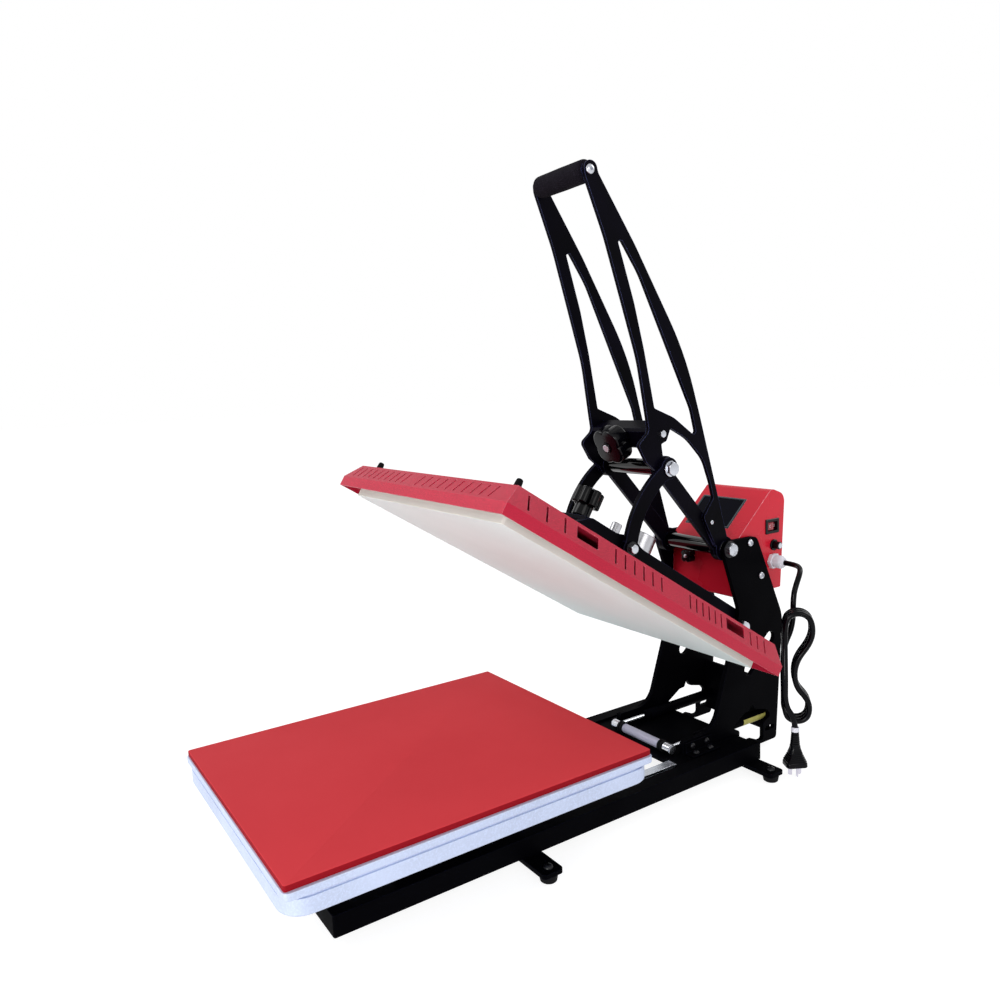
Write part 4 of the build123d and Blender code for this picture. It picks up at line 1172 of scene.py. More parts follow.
@dataclass
class Fasteners:
    """Bolts, washers and screws of the whole press.

    Attributes:
        cone: Share of a hexagon head's height, and the radius of the cone there as a share of its width.
        dome_arc: Angle in radians that a domed head's profile goes through.
        dome_rim: Share of a domed head's height that is upright.
        dome_sides: Points round a domed head.
        box_spots: Y and Z of the control box's screws.
        angle_x: Distance of the foot angles' upright bolts from the middle.
        angle_z: Level of the foot angles' level bolts.
        angle_ys: Y of the foot angles' bolts.
        main: Bolt of the lever's pivot.
        upper: Bolt of the coupler's pivot on the lever.
        link: Pin between the coupler and the head.
        low: Pin of the head's pivot.
        box: Screw of the control box.
        block: Bolt of the cross block.
        small: Small screw of the lever.
        grip: Screw of the grip.
        foot: Bolt of a foot.
        angle_up: Upright bolt of a foot angle.
        angle_out: Level bolt of a foot angle.
    """

    cone: tuple[Spot, ...] = ((0.0, 99.0), (0.55, 99.0), (0.72, 0.575), (0.8, 0.56), (0.88, 0.54),
                              (0.95, 0.515), (1.0, 0.47))
    dome_arc: float = 1.125
    dome_rim: float = 0.18
    dome_sides: int = 44
    box_spots: tuple[Spot, ...] = ((374.0, 362.0), (401.6, 303.0))
    angle_x: float = 90.5
    angle_z: float = 54.0
    angle_ys: Spot = (230.0, 262.0)
    main: Bolt = Bolt((19.0, 80.0, 87.0), (12.0, 45.0, 78.0), (27.0, 78.0, 80.0), washer_finish=DARK_OXIDE)
    upper: Bolt = Bolt((19.0, 79.0, 86.0), washer=(24.0, 77.0, 79.0))
    link: Bolt = Bolt((13.0, 79.0, 85.0), (10.0, 58.0, 77.0), (21.0, 77.0, 79.0), washer_finish=DARK_OXIDE)
    low: Bolt = Bolt((22.0, 78.0, 85.0), (14.0, 56.0, 78.0))
    box: Bolt = Bolt((12.0, 78.0, 82.0), (6.0, 63.7, 78.0), domed=True)
    block: Bolt = Bolt((10.0, 68.0, 72.0), (6.0, 42.0, 68.0))
    small: Bolt = Bolt((7.0, 68.0, 69.5), (4.0, 62.0, 68.0), domed=True)
    grip: Bolt = Bolt((14.0, 60.4, 64.4), (8.0, 34.0, 60.4), domed=True)
    foot: Bolt = Bolt((13.0, 17.0, 22.0), (8.0, 5.0, 17.0), domed=True, head_finish=DARK_OXIDE)
    angle_up: Bolt = Bolt((10.0, 45.0, 49.0), domed=True, head_finish=DARK_OXIDE)
    angle_out: Bolt = Bolt((10.0, 82.0, 86.0), domed=True, head_finish=DARK_OXIDE)

    def hex_head(self, shape: Shape, axis: Axis, flats: float, low: float, high: float) -> None:
        """Adds a hexagon head whose corners are cut by a cone, with a shallow face on top.

        Args:
            shape: Shape that it goes into.
            axis: Axis of the bolt, pointing outwards.
            flats: Width across the flats.
            low: Height of the seat.
            high: Height of the top.
        """
        wall = hexagon(flats)(np.arange(72) * TURN / 72)
        rise, cone = np.array(self.cone).T
        radius = np.minimum(wall[None, :], cone[:, None] * flats)
        shape.rings(axis, radius, low + (high - low) * rise, ZINC)

    def disc(self, shape: Shape, axis: Axis, diameter: float, low: float, high: float,
             finish: Finish) -> None:
        """Adds a washer with softened edges."""
        levels = rounded(low, high, min(0.5, (high - low) * 0.4), 3)
        shape.turned(axis, [(diameter / 2 - inset, h) for inset, h in levels], finish, 44)

    def dome(self, shape: Shape, axis: Axis, diameter: float, low: float, high: float,
             finish: Finish) -> None:
        """Adds a domed screw head with a hexagon socket: an arc up to the socket's rim, then the socket.

        Args:
            shape: Shape that it goes into.
            axis: Axis of the screw, pointing outwards.
            diameter: Diameter of the head.
            low: Height of the seat.
            high: Height of the top.
            finish: Finish of the head.
        """
        radius, rise = diameter / 2, high - low
        bulge = (1 - self.dome_rim) / math.sin(self.dome_arc)
        arc = [(radius * math.cos(t), low + rise * (self.dome_rim + bulge * math.sin(t)))
               for t in np.linspace(0, self.dome_arc, 7)]
        shape.turned(axis, [(radius - 0.3, low), *arc], finish, self.dome_sides, Ring.START)
        inner = arc[-1][0]
        rim = np.full(self.dome_sides, inner)
        key = np.minimum(hexagon(inner * 1.5)(np.arange(self.dome_sides) * TURN / self.dome_sides), inner)
        levels = np.array([high, high - 0.05, high - rise * 0.55])
        shape.rings(axis, np.stack([rim, key, key]), levels, finish, Ring.END)

    def bolt(self, shape: Shape, axis: Axis, bolt: Bolt) -> None:
        """Adds a bolt's shank, washer and head.

        Args:
            shape: Shape that they go into.
            axis: Axis of the bolt, pointing outwards.
            bolt: Its parts.
        """
        if bolt.shank is not None:
            diameter, low, high = bolt.shank
            shape.turned(axis, [(diameter / 2, low), (diameter / 2, high)], ZINC, 36)
        if bolt.washer is not None:
            self.disc(shape, axis, *bolt.washer, bolt.washer_finish)
        if bolt.domed:
            self.dome(shape, axis, *bolt.head, bolt.head_finish)
        else:
            self.hex_head(shape, axis, *bolt.head)

    def make(self, name: str, node: str, bolts: Callable[[Side], Sequence[tuple[Axis, Bolt]]]) -> None:
        """Makes the bolts of one CAD node.

        Args:
            name: Name of the piece.
            node: CAD node that it replaces.
            bolts: Axis and bolt of each one on a side, as a function of the side.
        """
        shape = Shape(name)
        for side in Side:
            for axis, bolt in bolts(side):
                self.bolt(shape, axis, bolt)
        shape.piece(node)

    def angle_bolts(self, side: Side) -> list[tuple[Axis, Bolt]]:
        """Upright and level bolts of the foot angle on a side.

        Args:
            side: Side of the press.

        Returns:
            Axis and bolt of each one.
        """
        pairs = []
        for y in self.angle_ys:
            pairs.append((upright(self.angle_x, y, side), self.angle_up))
            pairs.append((across((y, self.angle_z), side), self.angle_out))
        return pairs

    def build(self) -> None:
        """Makes all the fasteners."""
        _, link_y, link_z = PLACES.open_head(0.0, *PLACES.link)
        link = (link_y / MM, link_z / MM)
        for name, node, spots, bolt in (
            ("main_bolt_pair", "main_pivot_bolts", [PLACES.main], self.main),
            ("upper_bolt_pair", "upper_pivot_bolts", [PLACES.upper], self.upper),
            ("link_pin_pair", "link_pins", [link], self.link),
            ("low_pin_pair", "low_pivot_pins", [PLACES.low], self.low),
            ("box_screws", "box_bolts", self.box_spots, self.box),
        ):
            self.make(name, node, lambda side: [(across(spot, side), bolt) for spot in spots])
        self.make("lever_screws", "lever_bolts", lambda side: [
            (across(PLACES.block_bolt, side), self.block), (across(PLACES.lever_screw, side), self.small),
        ])
        self.make("grip_screws", "grip_bolts", lambda side: [(across(PLACES.grip, side), self.grip)])
        self.make("foot_bolt_set", "foot_bolts", lambda side: [
            (upright(PLACES.foot_x, y, side), self.foot) for y in PLACES.foot_ys
        ])
        self.make("angle_bolt_set", "angle_bolts", self.angle_bolts)


@dataclass
class Lever:
    """Grip and pressure knob of the lever.

    Attributes:
        grip_d: Diameter of the foam.
        grip_half: Half of its length.
        knob_tilt: Tilt of the pressure knob below level.
        end_r: Rounding of the foam's ends.
        end_sides: Points round the foam.
    """

    grip_d: float = 32.0
    grip_half: float = 53.0
    knob_tilt: float = 24.0
    end_r: float = 4.0
    end_sides: int = 48

    def foam(self) -> None:
        """Foam sleeve: a turned profile that swells a little between its rounded ends."""
        half = self.grip_half
        spots = np.linspace(-half + self.end_r, half - self.end_r, 25)
        swell = self.grip_d / 2 - 0.35 * (spots / half) ** 2 - 0.12 * np.sin(spots * 0.7) ** 2
        body = list(zip(swell.tolist(), spots.tolist()))
        end = round_over(self.end_r)
        first = [(swell[0] - inset, -half + drop) for inset, drop in end[::-1]]
        last = [(swell[-1] - inset, half - drop) for inset, drop in end]
        sleeve = Shape("grip_foam_sleeve")
        sleeve.turned(across(PLACES.grip), first + body[1:-1] + last, FOAM, self.end_sides)
        sleeve.piece("foam_grip")

    def knob(self) -> None:
        """Four-lobed pressure knob with its neck and hub."""
        tilt = math.radians(self.knob_tilt)
        axis = Axis(metres(0.0, *PLACES.block), (0.0, -math.cos(tilt), -math.sin(tilt)), (1, 0, 0))
        outline = lobes(4, 18.0, 13.0, 22.0)
        shape = Shape("pressure_knob_body")
        shape.turned(axis, [(14 - inset, h) for inset, h in rounded(18, 22, 0.6)], BLACK_PLASTIC)
        levels = rounded(21, 47, 4.0, 6)
        shape.carried(axis, lambda angle: outline(angle + TURN / 8), levels, BLACK_PLASTIC, 160)
        shape.turned(axis, [(9.0, 46.9), (9.0, 48.2), (8.2, 48.9)], BLACK_PLASTIC)
        shape.piece("pressure_knob")

    def build(self) -> None:
        """Makes the grip and the knob."""
        self.foam()
        self.knob()


@dataclass
class Buffer:
    """Cross roller and its gas springs at the rear of the drawer's travel.

    Attributes:
        y: Y of the roller.
        z: Level of the roller and the springs.
        sleeve_half: Half of the sleeve's length.
        axle_half: Half of the axle's length.
        bushing: Radius and distance from the middle of each ring of a bushing.
        spring_x: Distance of the springs from the middle.
        spring: Radius and Y of each ring of a spring's cylinder.
        band: Radius and Y of each row of the yellow band.
        band_arc: First and last angle of the band in degrees.
    """

    y: float = 199.0
    z: float = 51.0
    sleeve_half: float = 42.0
    axle_half: float = 67.0
    bushing: tuple[Spot, ...] = ((8.6, 42.05), (9.5, 43.0), (9.5, 46.5), (8.2, 47.0), (8.2, 48.0),
                                 (9.5, 48.5), (9.5, 52.2), (8.8, 52.95))
    spring_x: float = 60.0
    spring: tuple[Spot, ...] = ((4.07, 262.0), (6.0, 262.0), (8.0, 262.8), (8.9, 264.5), (8.9, 268.0),
                                (8.2, 269.5), (8.2, 272.0), (9.0, 273.5), (9.0, 425.0), (8.0, 427.8))
    band: tuple[Spot, ...] = ((9.0, 368.6), (9.14, 368.8), (9.14, 424.0), (9.0, 424.2))
    band_arc: Spot = (-150.0, 25.0)

    def roller(self) -> None:
        """Roller sleeve, its end bushings and the axle's heads."""
        spot = (self.y, self.z)
        wall = [(7.5 - inset, h) for inset, h in rounded(-self.sleeve_half, self.sleeve_half, 0.8)]
        Shape("roller_sleeve_body").turned(across(spot), wall, ROLLER, 48).piece("buffer_roller")
        bushings = Shape("roller_bushing_pair")
        axle = Shape("roller_axle")
        axle.turned(across(spot), [(4.0, -self.axle_half), (4.0, self.axle_half)], ZINC, 32)
        for side in Side:
            bushings.turned(across(spot, side), self.bushing, BLACK_RUBBER)
            Fasteners().hex_head(axle, across(spot, side), 13.0, self.axle_half, 69.5)
        bushings.piece("buffer_bushings")
        axle.piece("buffer_bolt")

    def springs(self) -> None:
        """Gas spring cylinders with a rolled front end."""
        shape = Shape("gas_spring_tubes")
        for side in Side:
            axis = Axis(metres(side.value * self.spring_x, 0.0, self.z), (0, 1, 0), (1, 0, 0))
            shape.turned(axis, self.spring, BASE_BLACK)
            shape.turned(axis, [(4.0, 427.5), (4.0, 440.0)], ZINC, 24)
        shape.piece("gas_spring_cylinders")

    def label(self) -> None:
        """Plain yellow band on the right spring: rows along an arc about the cylinder's axis."""
        angle = np.linspace(*np.radians(self.band_arc), 24)
        rows = []
        for radius, y in self.band:
            x, z = self.spring_x + radius * np.cos(angle), self.z + radius * np.sin(angle)
            rows.append(np.stack([x, np.full(24, y), z], axis=-1))
        band = Shape("gas_spring_band").grid(np.stack(rows) * MM, BAND_YELLOW, Ring.OPEN, wrap=False)
        band.piece(body="frame", slot="black_enamel")

    def build(self) -> None:
        """Makes the buffer's pieces."""
        self.roller()
        self.springs()
        self.label()


@dataclass
class Feet:
    """Rubber feet under the foot bars.

    Attributes:
        profile: Radius and height of each ring of a foot.
    """

    profile: tuple[Spot, ...] = ((9.0, 0.0), (10.4, 0.4), (11.2, 1.2), (12.6, 9.0), (12.9, 10.0),
                                 (12.6, 10.9))

    def build(self) -> None:
        """Turned feet with a rounded sole."""
        shape = Shape("rubber_foot_set")
        for side in Side:
            for y in PLACES.foot_ys:
                shape.turned(upright(PLACES.foot_x, y, side), self.profile, BLACK_RUBBER)
        shape.piece("rubber_feet")


@dataclass
class ControlPanel:
    """Display, switch, fuse holder, gland and knob of the control box.

    Attributes:
        wall: Distance of the box's right wall from the middle.
        switch: Y and Z of the switch.
        fuse: Y and Z of the fuse holder.
        gland: Y and Z of the gland.
        rocker_tilt: Tilt of the rocker as photographed, in degrees.
        rocker_depth: Distance of the rocker's pivot behind the wall.
        rocker_half: Half of the rocker's length.
        mark_spot: Distance of the rocker's marks from its middle, and their level.
        glass_at: Middle of the display's frame on the sloping front.
        slope: Rise and run of the sloping front, towards the rear.
        knob_at: Seat of the front knob.
    """

    wall: float = 69.7
    switch: Spot = (439.6, 380.7)
    fuse: Spot = (444.0, 348.0)
    gland: Spot = (440.0, 321.0)
    rocker_tilt: float = 9.0
    rocker_depth: float = 8.0
    rocker_half: float = 10.8
    mark_spot: Spot = (5.8, 7.45)
    glass_at: Point = (-12.0, 393.0, 403.6)
    slope: Spot = (81.0, 90.0)
    knob_at: Point = (-22.0, 342.0, 332.0)

    def outward(self, spot: Spot) -> Axis:
        """Axis that starts on the box's right wall and points out of it."""
        return Axis(metres(self.wall, *spot), (1, 0, 0), (0, 1, 0))

    def display(self) -> None:
        """Grey rim with a dark sunken glass, on the sloping front."""
        slope = math.atan2(*self.slope)
        axis = Axis(metres(*self.glass_at), (0.0, -math.sin(slope), math.cos(slope)), (1, 0, 0))
        rim = [(95.4, 65.4, 2.0, -5.0), (95.4, 65.4, 2.0, 0.9), (94.6, 64.6, 1.7, 1.4),
               (90.0, 60.0, 1.2, 1.4), (89.0, 59.0, 1.0, 0.2), (88.8, 58.8, 1.0, -0.4)]
        glass = [(88.9, 58.9, 1.0, -0.5), (88.7, 58.7, 1.0, -0.3)]
        shape = Shape("display_rim").grid(box_loft(axis, rim), BEZEL_GREY, Ring.START)
        shape.grid(box_loft(axis, glass), GLASS_DARK, Ring.BOTH)
        shape.piece("display")

    def switch_frame(self) -> None:
        """Frame of the switch, hollow for the rocker."""
        rings = [(28.6, 19.6, 1.0, -18.0), (28.6, 19.6, 1.0, 0.0), (34.0, 25.0, 1.5, 0.0),
                 (34.0, 25.0, 1.5, 1.2), (32.6, 23.6, 1.2, 2.0), (24.6, 15.6, 0.8, 2.0),
                 (24.2, 15.2, 0.8, 1.2), (24.2, 15.2, 0.8, -14.0)]
        housing = box_loft(self.outward(self.switch), rings)
        Shape("switch_frame").grid(housing, BLACK_PLASTIC, Ring.START).piece("switch_housing")

    def rocker(self) -> None:
        """Tilted rocker with two marks: a grid that falls off to its ends and long edges, on a wall."""
        tilt = math.radians(self.rocker_tilt)
        pivot = Axis(metres(self.wall - self.rocker_depth, *self.switch),
                     (math.cos(tilt), math.sin(tilt), 0.0), (0, 0, 1))
        swing = np.linspace(-1, 1, 25)
        face = 8.6 - 3.1 * np.abs(swing) ** 1.6
        wide = np.array([-7.1, -6.6, -6.0, 0.0, 6.0, 6.6, 7.1])
        drop = np.array([1.4, 0.4, 0.0, 0.0, 0.0, 0.4, 1.4])
        size = (len(swing), len(wide))
        top = np.stack([
            np.broadcast_to(wide, size), np.broadcast_to((swing * self.rocker_half)[:, None], size),
            face[:, None] - drop,
        ], axis=-1)
        shape = Shape("rocker_body").grid(pivot.place(top * MM), ROCKER_RED, Ring.OPEN, wrap=False)
        rim = np.concatenate([top[0], top[1:-1, -1], top[-1][::-1], top[1:-1, 0][::-1]])
        low = rim * (1.0, 0.93, 1.0)
        low[:, 2] = -2.0
        shape.grid(pivot.place(np.stack([low, rim]) * MM), ROCKER_RED, Ring.START)
        away, level = self.mark_spot
        bar, ring = (
            Axis(tuple(pivot.place(np.array([0, spot, level]) * MM)), pivot.along, (0, 0, 1))
            for spot in (-away, away)
        )
        shape.grid(box_loft(bar, [(5.4, 1.3, 0.4, -0.4), (5.4, 1.3, 0.4, 0.15)]), MARK_WHITE, Ring.BOTH)
        shape.turned(ring, [(2.7, -0.4), (2.7, 0.15), (1.6, 0.15), (1.6, -0.4)], MARK_WHITE, 32, Ring.OPEN)
        shape.piece("switch_rocker")

    def fuse_holder(self) -> None:
        """Flanged holder with a ribbed cap and a metal disc at its end."""
        axis = self.outward(self.fuse)
        shape = Shape("fuse_holder_body")
        flange = [(6.8, -16.0), (6.8, 0.0), (9.5, 0.0), (9.5, 2.2), (8.8, 3.0), (6.4, 3.0)]
        shape.turned(axis, flange, BLACK_PLASTIC)
        cap = [(0.0, 3.0), (0.0, 12.6), (0.9, 13.6)]
        shape.carried(axis, fluted(6.5, 0.3, 12, 0.2), cap, BLACK_PLASTIC, 144)
        shape.turned(axis, [(4.6, 13.4), (4.6, 13.9), (4.0, 14.0)], ZINC, 32)
        shape.piece("fuse_holder")

    def gland_piece(self) -> None:
        """Nylon gland: hexagon base, fluted dome nut and the thread through the wall."""
        axis = self.outward(self.gland)
        shape = Shape("gland_body")
        shape.carried(axis, hexagon(24.0), [(0.9, 0.0), (0.0, 0.8), (0.0, 7.2), (0.9, 8.0)], NYLON)
        nut = [(0.8, 8.0), (0.0, 8.8), (0.0, 19.0), (0.8, 20.6), (2.2, 23.0), (4.4, 25.6), (5.6, 26.0)]
        shape.carried(axis, fluted(11.0, 0.35, 9, 0.5), nut, NYLON, 108)
        shape.turned(axis, [(8.8, -12.0), (8.8, 0.0)], NYLON)
        shape.piece("cable_gland")

    def knob(self) -> None:
        """Small four-lobed knob in front of the box."""
        turn = math.radians(45)
        axis = Axis(metres(*self.knob_at), (0, -1, 0), (math.cos(turn), 0, math.sin(turn)))
        shape = Shape("front_knob_body")
        shape.carried(axis, lobes(4, 5.5, 6.5, 7.0), rounded(0, 14, 1.2), BLACK_PLASTIC)
        shape.turned(axis, [(3.4, 13.9), (3.4, 14.4), (3.0, 14.6)], ZINC, 24)
        shape.piece("front_knob")

    def build(self) -> None:
        """Makes the panel's pieces."""
        self.display()
        self.switch_frame()
        self.rocker()
        self.fuse_holder()
        self.gland_piece()
        self.knob()


@dataclass
class MainsLead:
    """Mains lead with its bundled loops, tie and plug.

    Attributes:
        diameter: Diameter of the lead.
        length: Its real length in metres; not used.
        foot: Where the lead enters the plug.
        turn: Turn of the bundle's plane about the vertical.
        pitch: Distance between layers of the bundle.
        plug_turn: Turn of the plug about the vertical, in degrees.
        ribs: Ribs on the plug and on its relief.
        strand: Place across the loops of the strands that run straight.
    """

    diameter: float = 9.0
    length: float = 1.54
    foot: Point = (175.0, 363.0, 72.0)
    turn: float = 48.0
    pitch: float = 10.5
    plug_turn: float = -30.0
    ribs: int = 5
    strand: float = -15.0

    def spot(self, side: float, up: float, layer: float) -> Point:
        """Point of the bundle, whose plane is turned about the vertical.

        Args:
            side: Distance across its loops.
            up: Height above its foot.
            layer: Number of the layer.

        Returns:
            The point in millimetres.
        """
        c, s = math.cos(math.radians(self.turn)), math.sin(math.radians(self.turn))
        x, y, z = self.foot
        deep = self.pitch * layer
        return x + s * side - c * deep, y + c * side + s * deep, z + up

    def route(self) -> list[Point]:
        """Points of the lead's line from the gland to the plug.

        Returns:
            The points in millimetres.
        """
        left = self.strand
        top_x, top_y, _ = self.spot(0.0, 190.0, 4)
        points = [(95.7, 440.0, 321.0), (115.9, 440.0, 321.0), (133.5, 430.0, 319.5), (143.0, 415.5, 313.1),
                  (146.5, 402.5, 299.9), (top_x, top_y, 281.8)]
        points += [self.spot(0.0, 160.5, 4), self.spot(left, 124.5, 4), self.spot(left, 86.0, 4),
                   self.spot(left, 50.0, 3)]
        for layer in (3, 2, 1):
            points += [self.spot(side, up, layer) for side, up in (
                (left, 24.3), (-4.2, 13.5), (11.2, 13.5), (22.0, 24.3), (22.0, 48.2), (0.0, 71.9),
                (0.0, 110.3), (26.0, 146.7), (26.0, 177.5), (14.0, 189.5), (-3.0, 189.5), (left, 177.5),
            )]
            lower = 66.3 if layer > 1 else 82.8
            points += [self.spot(left, 134.7, layer), self.spot(left, lower, layer - 1)]
        return points + [self.spot(left, 41.5, 0), self.spot(0.0, 21.5, 0), self.spot(0.0, 0.0, 0)]

    def plug(self) -> bpy.types.Object:
        """Plug: a loft of rounded rectangles with finger ribs and a tapered, grooved relief.

        Returns:
            The plug's piece.
        """
        angle = math.radians(self.plug_turn)
        axis = Axis(metres(*self.foot[:2], 0.0), (0, 0, 1), (math.cos(angle), math.sin(angle), 0))
        sections = [(24.6, 32.6, 5.4, 16.0), (26.0, 34.0, 6.0, 16.8), (26.0, 33.6, 6.0, 22.0)]
        relief = [(7.5, 49.5)]
        for step in range(self.ribs):
            z, wide, deep = 23.5 + step * 3.0, 25.6 - step * 1.6, 32.4 - step * 2.6
            sections += [(wide, deep, 6.0, z), (wide - 1.2, deep - 1.2, 5.6, z + 0.7),
                         (wide - 1.2, deep - 1.2, 5.6, z + 1.6), (wide - 0.3, deep - 0.5, 5.8, z + 2.3)]
            z, radius = 51.5 + step * 3.6, 7.4 - step * 0.28
            relief += [(radius, z), (radius, z + 1.9), (radius - 0.9, z + 2.2), (radius - 0.9, z + 3.2)]
        sections += [(16.5, 18.5, 5.4, 42.0), (14.6, 15.4, 5.2, 47.0), (14.2, 15.0, 5.0, 50.0)]
        relief += [(6.0, 70.0), (6.0, 71.2), (5.4, 71.9)]
        shape = Shape("plug_moulding").grid(box_loft(axis, sections), CORD_BLACK, Ring.BOTH)
        return shape.turned(axis, relief, CORD_BLACK, 36).piece("plug_body")

    def pins(self) -> bpy.types.Object:
        """Two angled flat pins and the earth pin, with narrowed tips.

        Returns:
            The pins' piece.
        """
        shape = Shape("plug_pin_set")
        angle = math.radians(self.plug_turn)
        c, s = math.cos(angle), math.sin(angle)
        sections = [(0.8, 4.4, 0.3, 1.0), (1.4, 5.8, 0.4, 1.8), (1.6, 6.4, 0.4, 3.2), (1.6, 6.4, 0.4, 16.2)]
        for x, y, turn in ((0.0, -8.0, -30.0), (0.0, 8.0, 30.0), (8.0, 0.0, 90.0)):
            way = angle + math.radians(turn)
            centre = metres(self.foot[0] + c * x - s * y, self.foot[1] + s * x + c * y, 0.0)
            axis = Axis(centre, (0, 0, 1), (math.cos(way), math.sin(way), 0))
            shape.grid(box_loft(axis, sections), PIN_METAL, Ring.BOTH)
        return shape.piece("plug_pins")

    def tie(self) -> bpy.types.Object:
        """Tie: a turned sleeve with one groove, round the lead above the plug.

        Returns:
            The tie's piece.
        """
        profile = [(4.65, 0.5), (5.8, 0.6), (6.2, 1.2), (6.2, 3.3), (5.8, 3.9), (5.8, 4.4), (6.2, 5.0),
                   (6.2, 7.2), (5.8, 7.9), (4.65, 8.0)]
        sleeve = Shape("lead_tie").turned(Axis(metres(*self.foot)), profile, NYLON, 40, Ring.OPEN)
        return sleeve.piece("cord_tie")

    def build(self) -> None:
        with_pieces = [self.plug(), self.pins(), self.tie()]
        curve = bpy.data.curves.new("mains_lead", "CURVE")
        curve.dimensions = "3D"
        points = self.route()
        spline = curve.splines.new("NURBS")
        spline.points.add(len(points) - 1)
        flat = np.array([(x * MM, y * MM, z * MM, 1.0) for x, y, z in points])
        spline.points.foreach_set("co", flat.ravel())
        spline.order_u = 3
        spline.use_endpoint_u = True
        curve.resolution_u = 8
        curve.bevel_depth = self.diameter / 2 * MM
        curve.bevel_resolution = 4
        curve.materials.append(CORD_BLACK.material())
        lead = added("mains_lead", curve)
        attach(lead, "frame")
        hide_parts("cord", "cord_hank")
        LOG.info("mains lead: %d points", len(points))


# Studio


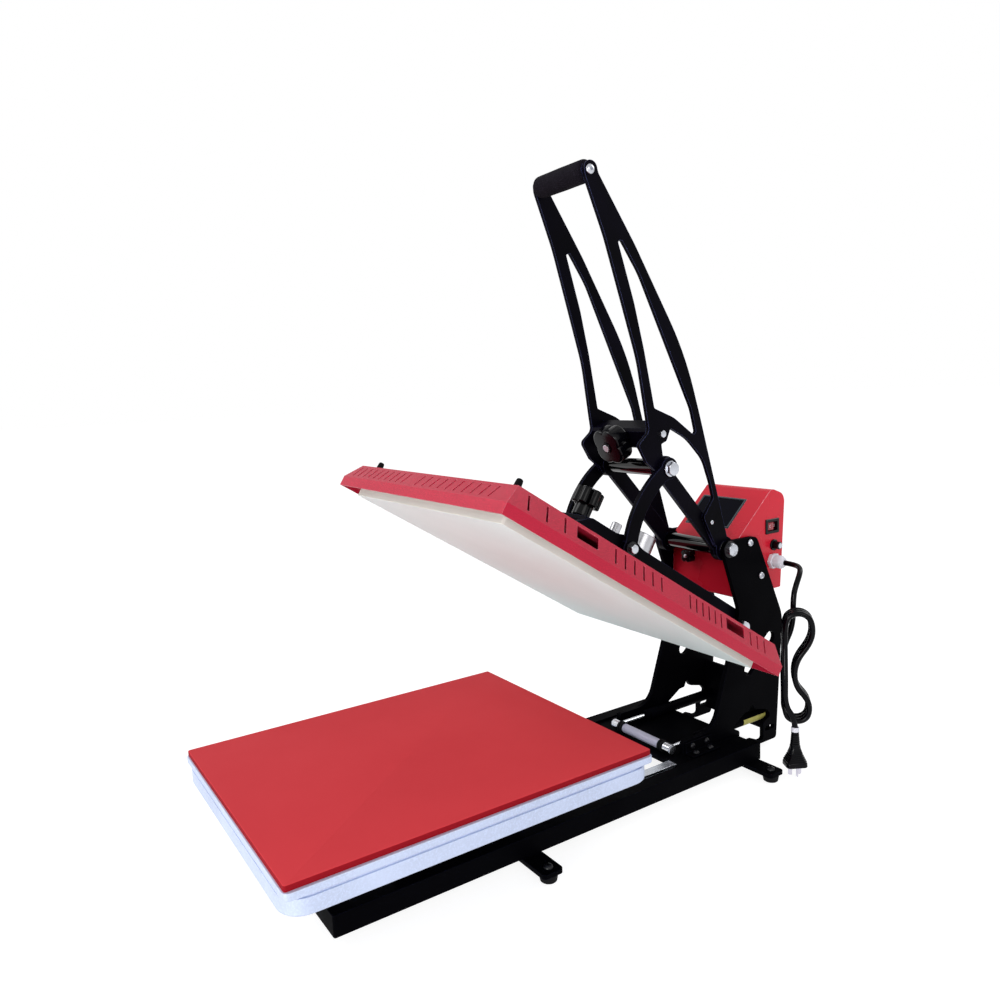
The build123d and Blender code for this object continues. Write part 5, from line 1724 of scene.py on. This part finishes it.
@dataclass
class Studio:
    """Camera, soft lights, white world and pale floor.

    Attributes:
        camera_at: Place of the camera.
        azimuth: Direction that it looks in, 0 being along +Y and 90 along -X.
        pitch: How far it looks down.
        roll: Its turn about the view.
        focal: Focal length in pixels of a picture 1000 pixels wide.
        sensor: Width of the camera's sensor in millimetres.
        aim: Point that the lamps look at.
        lamps: Name, place, size, power and colour of each lamp.
    """

    camera_at: Point = (0.9653, -0.6946, 0.6288)
    azimuth: float = 56.75
    pitch: float = 7.63
    roll: float = -2.49
    focal: float = 822.9
    sensor: float = 36.0
    aim: Point = (0.0, 0.0, 0.35)
    lamps: tuple[tuple[str, Point, float, float, Point], ...] = (
        ("key_light", (-1.6, -1.9, 2.6), 1.6, 34.0, WHITE),
        ("side_light", (2.6, -0.6, 1.5), 1.4, 14.0, (1.0, 0.98, 0.96)),
        ("back_light", (0.6, 2.4, 2.2), 1.2, 16.0, WHITE),
        ("low_front_light", (1.4, -2.6, 0.2), 1.2, 55.0, WHITE),
    )

    def camera(self) -> None:
        """Camera at the photograph's viewing angle."""
        a, e, r = (math.radians(value) for value in (self.azimuth, self.pitch, self.roll))
        back = Vector((math.sin(a) * math.cos(e), -math.cos(a) * math.cos(e), math.sin(e)))
        right = (-back).cross(Vector((0, 0, 1))).normalized()
        up = right.cross(-back)
        side = math.cos(r) * right + math.sin(r) * up
        top = -math.sin(r) * right + math.cos(r) * up
        data = bpy.data.cameras.new("photo_camera")
        data.sensor_fit = "HORIZONTAL"
        data.sensor_width = self.sensor
        data.lens = self.focal * self.sensor / 1000.0
        data.clip_start = 0.01
        data.clip_end = 100.0
        camera = added("photo_camera", data)
        turned = Matrix((side, top, back)).transposed().to_4x4()
        camera.matrix_world = Matrix.Translation(self.camera_at) @ turned
        bpy.context.scene.camera = camera

    def lamp(self, name: str, at: Point, size: float, power: float, colour: Point) -> None:
        """Adds a square lamp that points at the middle of the press.

        Args:
            name: Name of the lamp.
            at: Its place in metres.
            size: Length of its sides in metres.
            power: Its power in watts.
            colour: Its colour.
        """
        data = bpy.data.lights.new(name, "AREA")
        data.shape = "SQUARE"
        data.size = size
        data.energy = power
        data.color = colour
        lamp = added(name, data)
        lamp.location = at
        aim = Vector(self.aim) - Vector(at)
        lamp.rotation_euler = aim.to_track_quat("-Z", "Y").to_euler()

    def world(self) -> None:
        """White world for the camera, a little darker in reflections, and softer light for the rest."""
        world = bpy.data.worlds.new("studio")
        world.use_nodes = True
        bpy.context.scene.world = world
        world.node_tree.nodes.clear()
        w = Wiring(world.node_tree)
        path = w.node("ShaderNodeLightPath")
        seen = w.math("MAXIMUM", path.outputs["Is Camera Ray"], path.outputs["Is Transmission Ray"])
        soft = w.shader("ShaderNodeBackground", (0.93, 0.95, 1.0), 0.62)
        shiny = w.shader("ShaderNodeBackground", WHITE, 0.8)
        white = w.shader("ShaderNodeBackground", WHITE, 1.0)
        unseen = w.choose(path.outputs["Is Glossy Ray"], soft, shiny)
        out = w.node("ShaderNodeOutputWorld")
        w.join(w.choose(seen, unseen, white), out.inputs["Surface"])

    def floor(self) -> None:
        """Pale floor that shows white to the camera but keeps the press's shadow."""
        made = bpy.data.materials.new("pale_floor")
        made.use_nodes = True
        made.node_tree.nodes.clear()
        w = Wiring(made.node_tree)
        path = w.node("ShaderNodeLightPath")
        seen = w.math("MAXIMUM", path.outputs["Is Camera Ray"], path.outputs["Is Glossy Ray"])
        plain = w.shader("ShaderNodeBsdfDiffuse", (0.8, 0.8, 0.8))
        both = w.node("ShaderNodeAddShader")
        w.join(w.shader("ShaderNodeBsdfDiffuse", (0.3, 0.3, 0.3)), both.inputs[0])
        w.join(w.shader("ShaderNodeEmission", WHITE, 0.88), both.inputs[1])
        out = w.node("ShaderNodeOutputMaterial")
        w.join(w.choose(seen, plain, both.outputs[0]), out.inputs["Surface"])
        mesh = bpy.data.meshes.new("floor")
        reach, level = 30.0, -0.0005
        corners = [(x * reach, y * reach, level) for x, y in ((-1, -1), (1, -1), (1, 1), (-1, 1))]
        mesh.from_pydata(corners, [], [(0, 1, 2, 3)])
        mesh.materials.append(made)
        added("floor", mesh)

    def build(self) -> None:
        """Makes the studio."""
        bpy.context.scene.view_settings.view_transform = "Standard"
        self.camera()
        self.world()
        for lamp in self.lamps:
            self.lamp(*lamp)
        self.floor()


def main() -> None:
    """Builds the studio and every sub-assembly in order, and reports each."""
    logging.basicConfig(level=logging.INFO, format="%(name)s: %(message)s")
    Studio().build()
    MainsLead().build()
    Dresser().build()
    for assembly in (PressPad(), HeatingHead(), Fasteners(), Lever(), Buffer(), Feet(), ControlPanel()):
        assembly.build()
        LOG.info("%s done", type(assembly).__name__)
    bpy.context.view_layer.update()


if __name__ == "__main__":
    main()
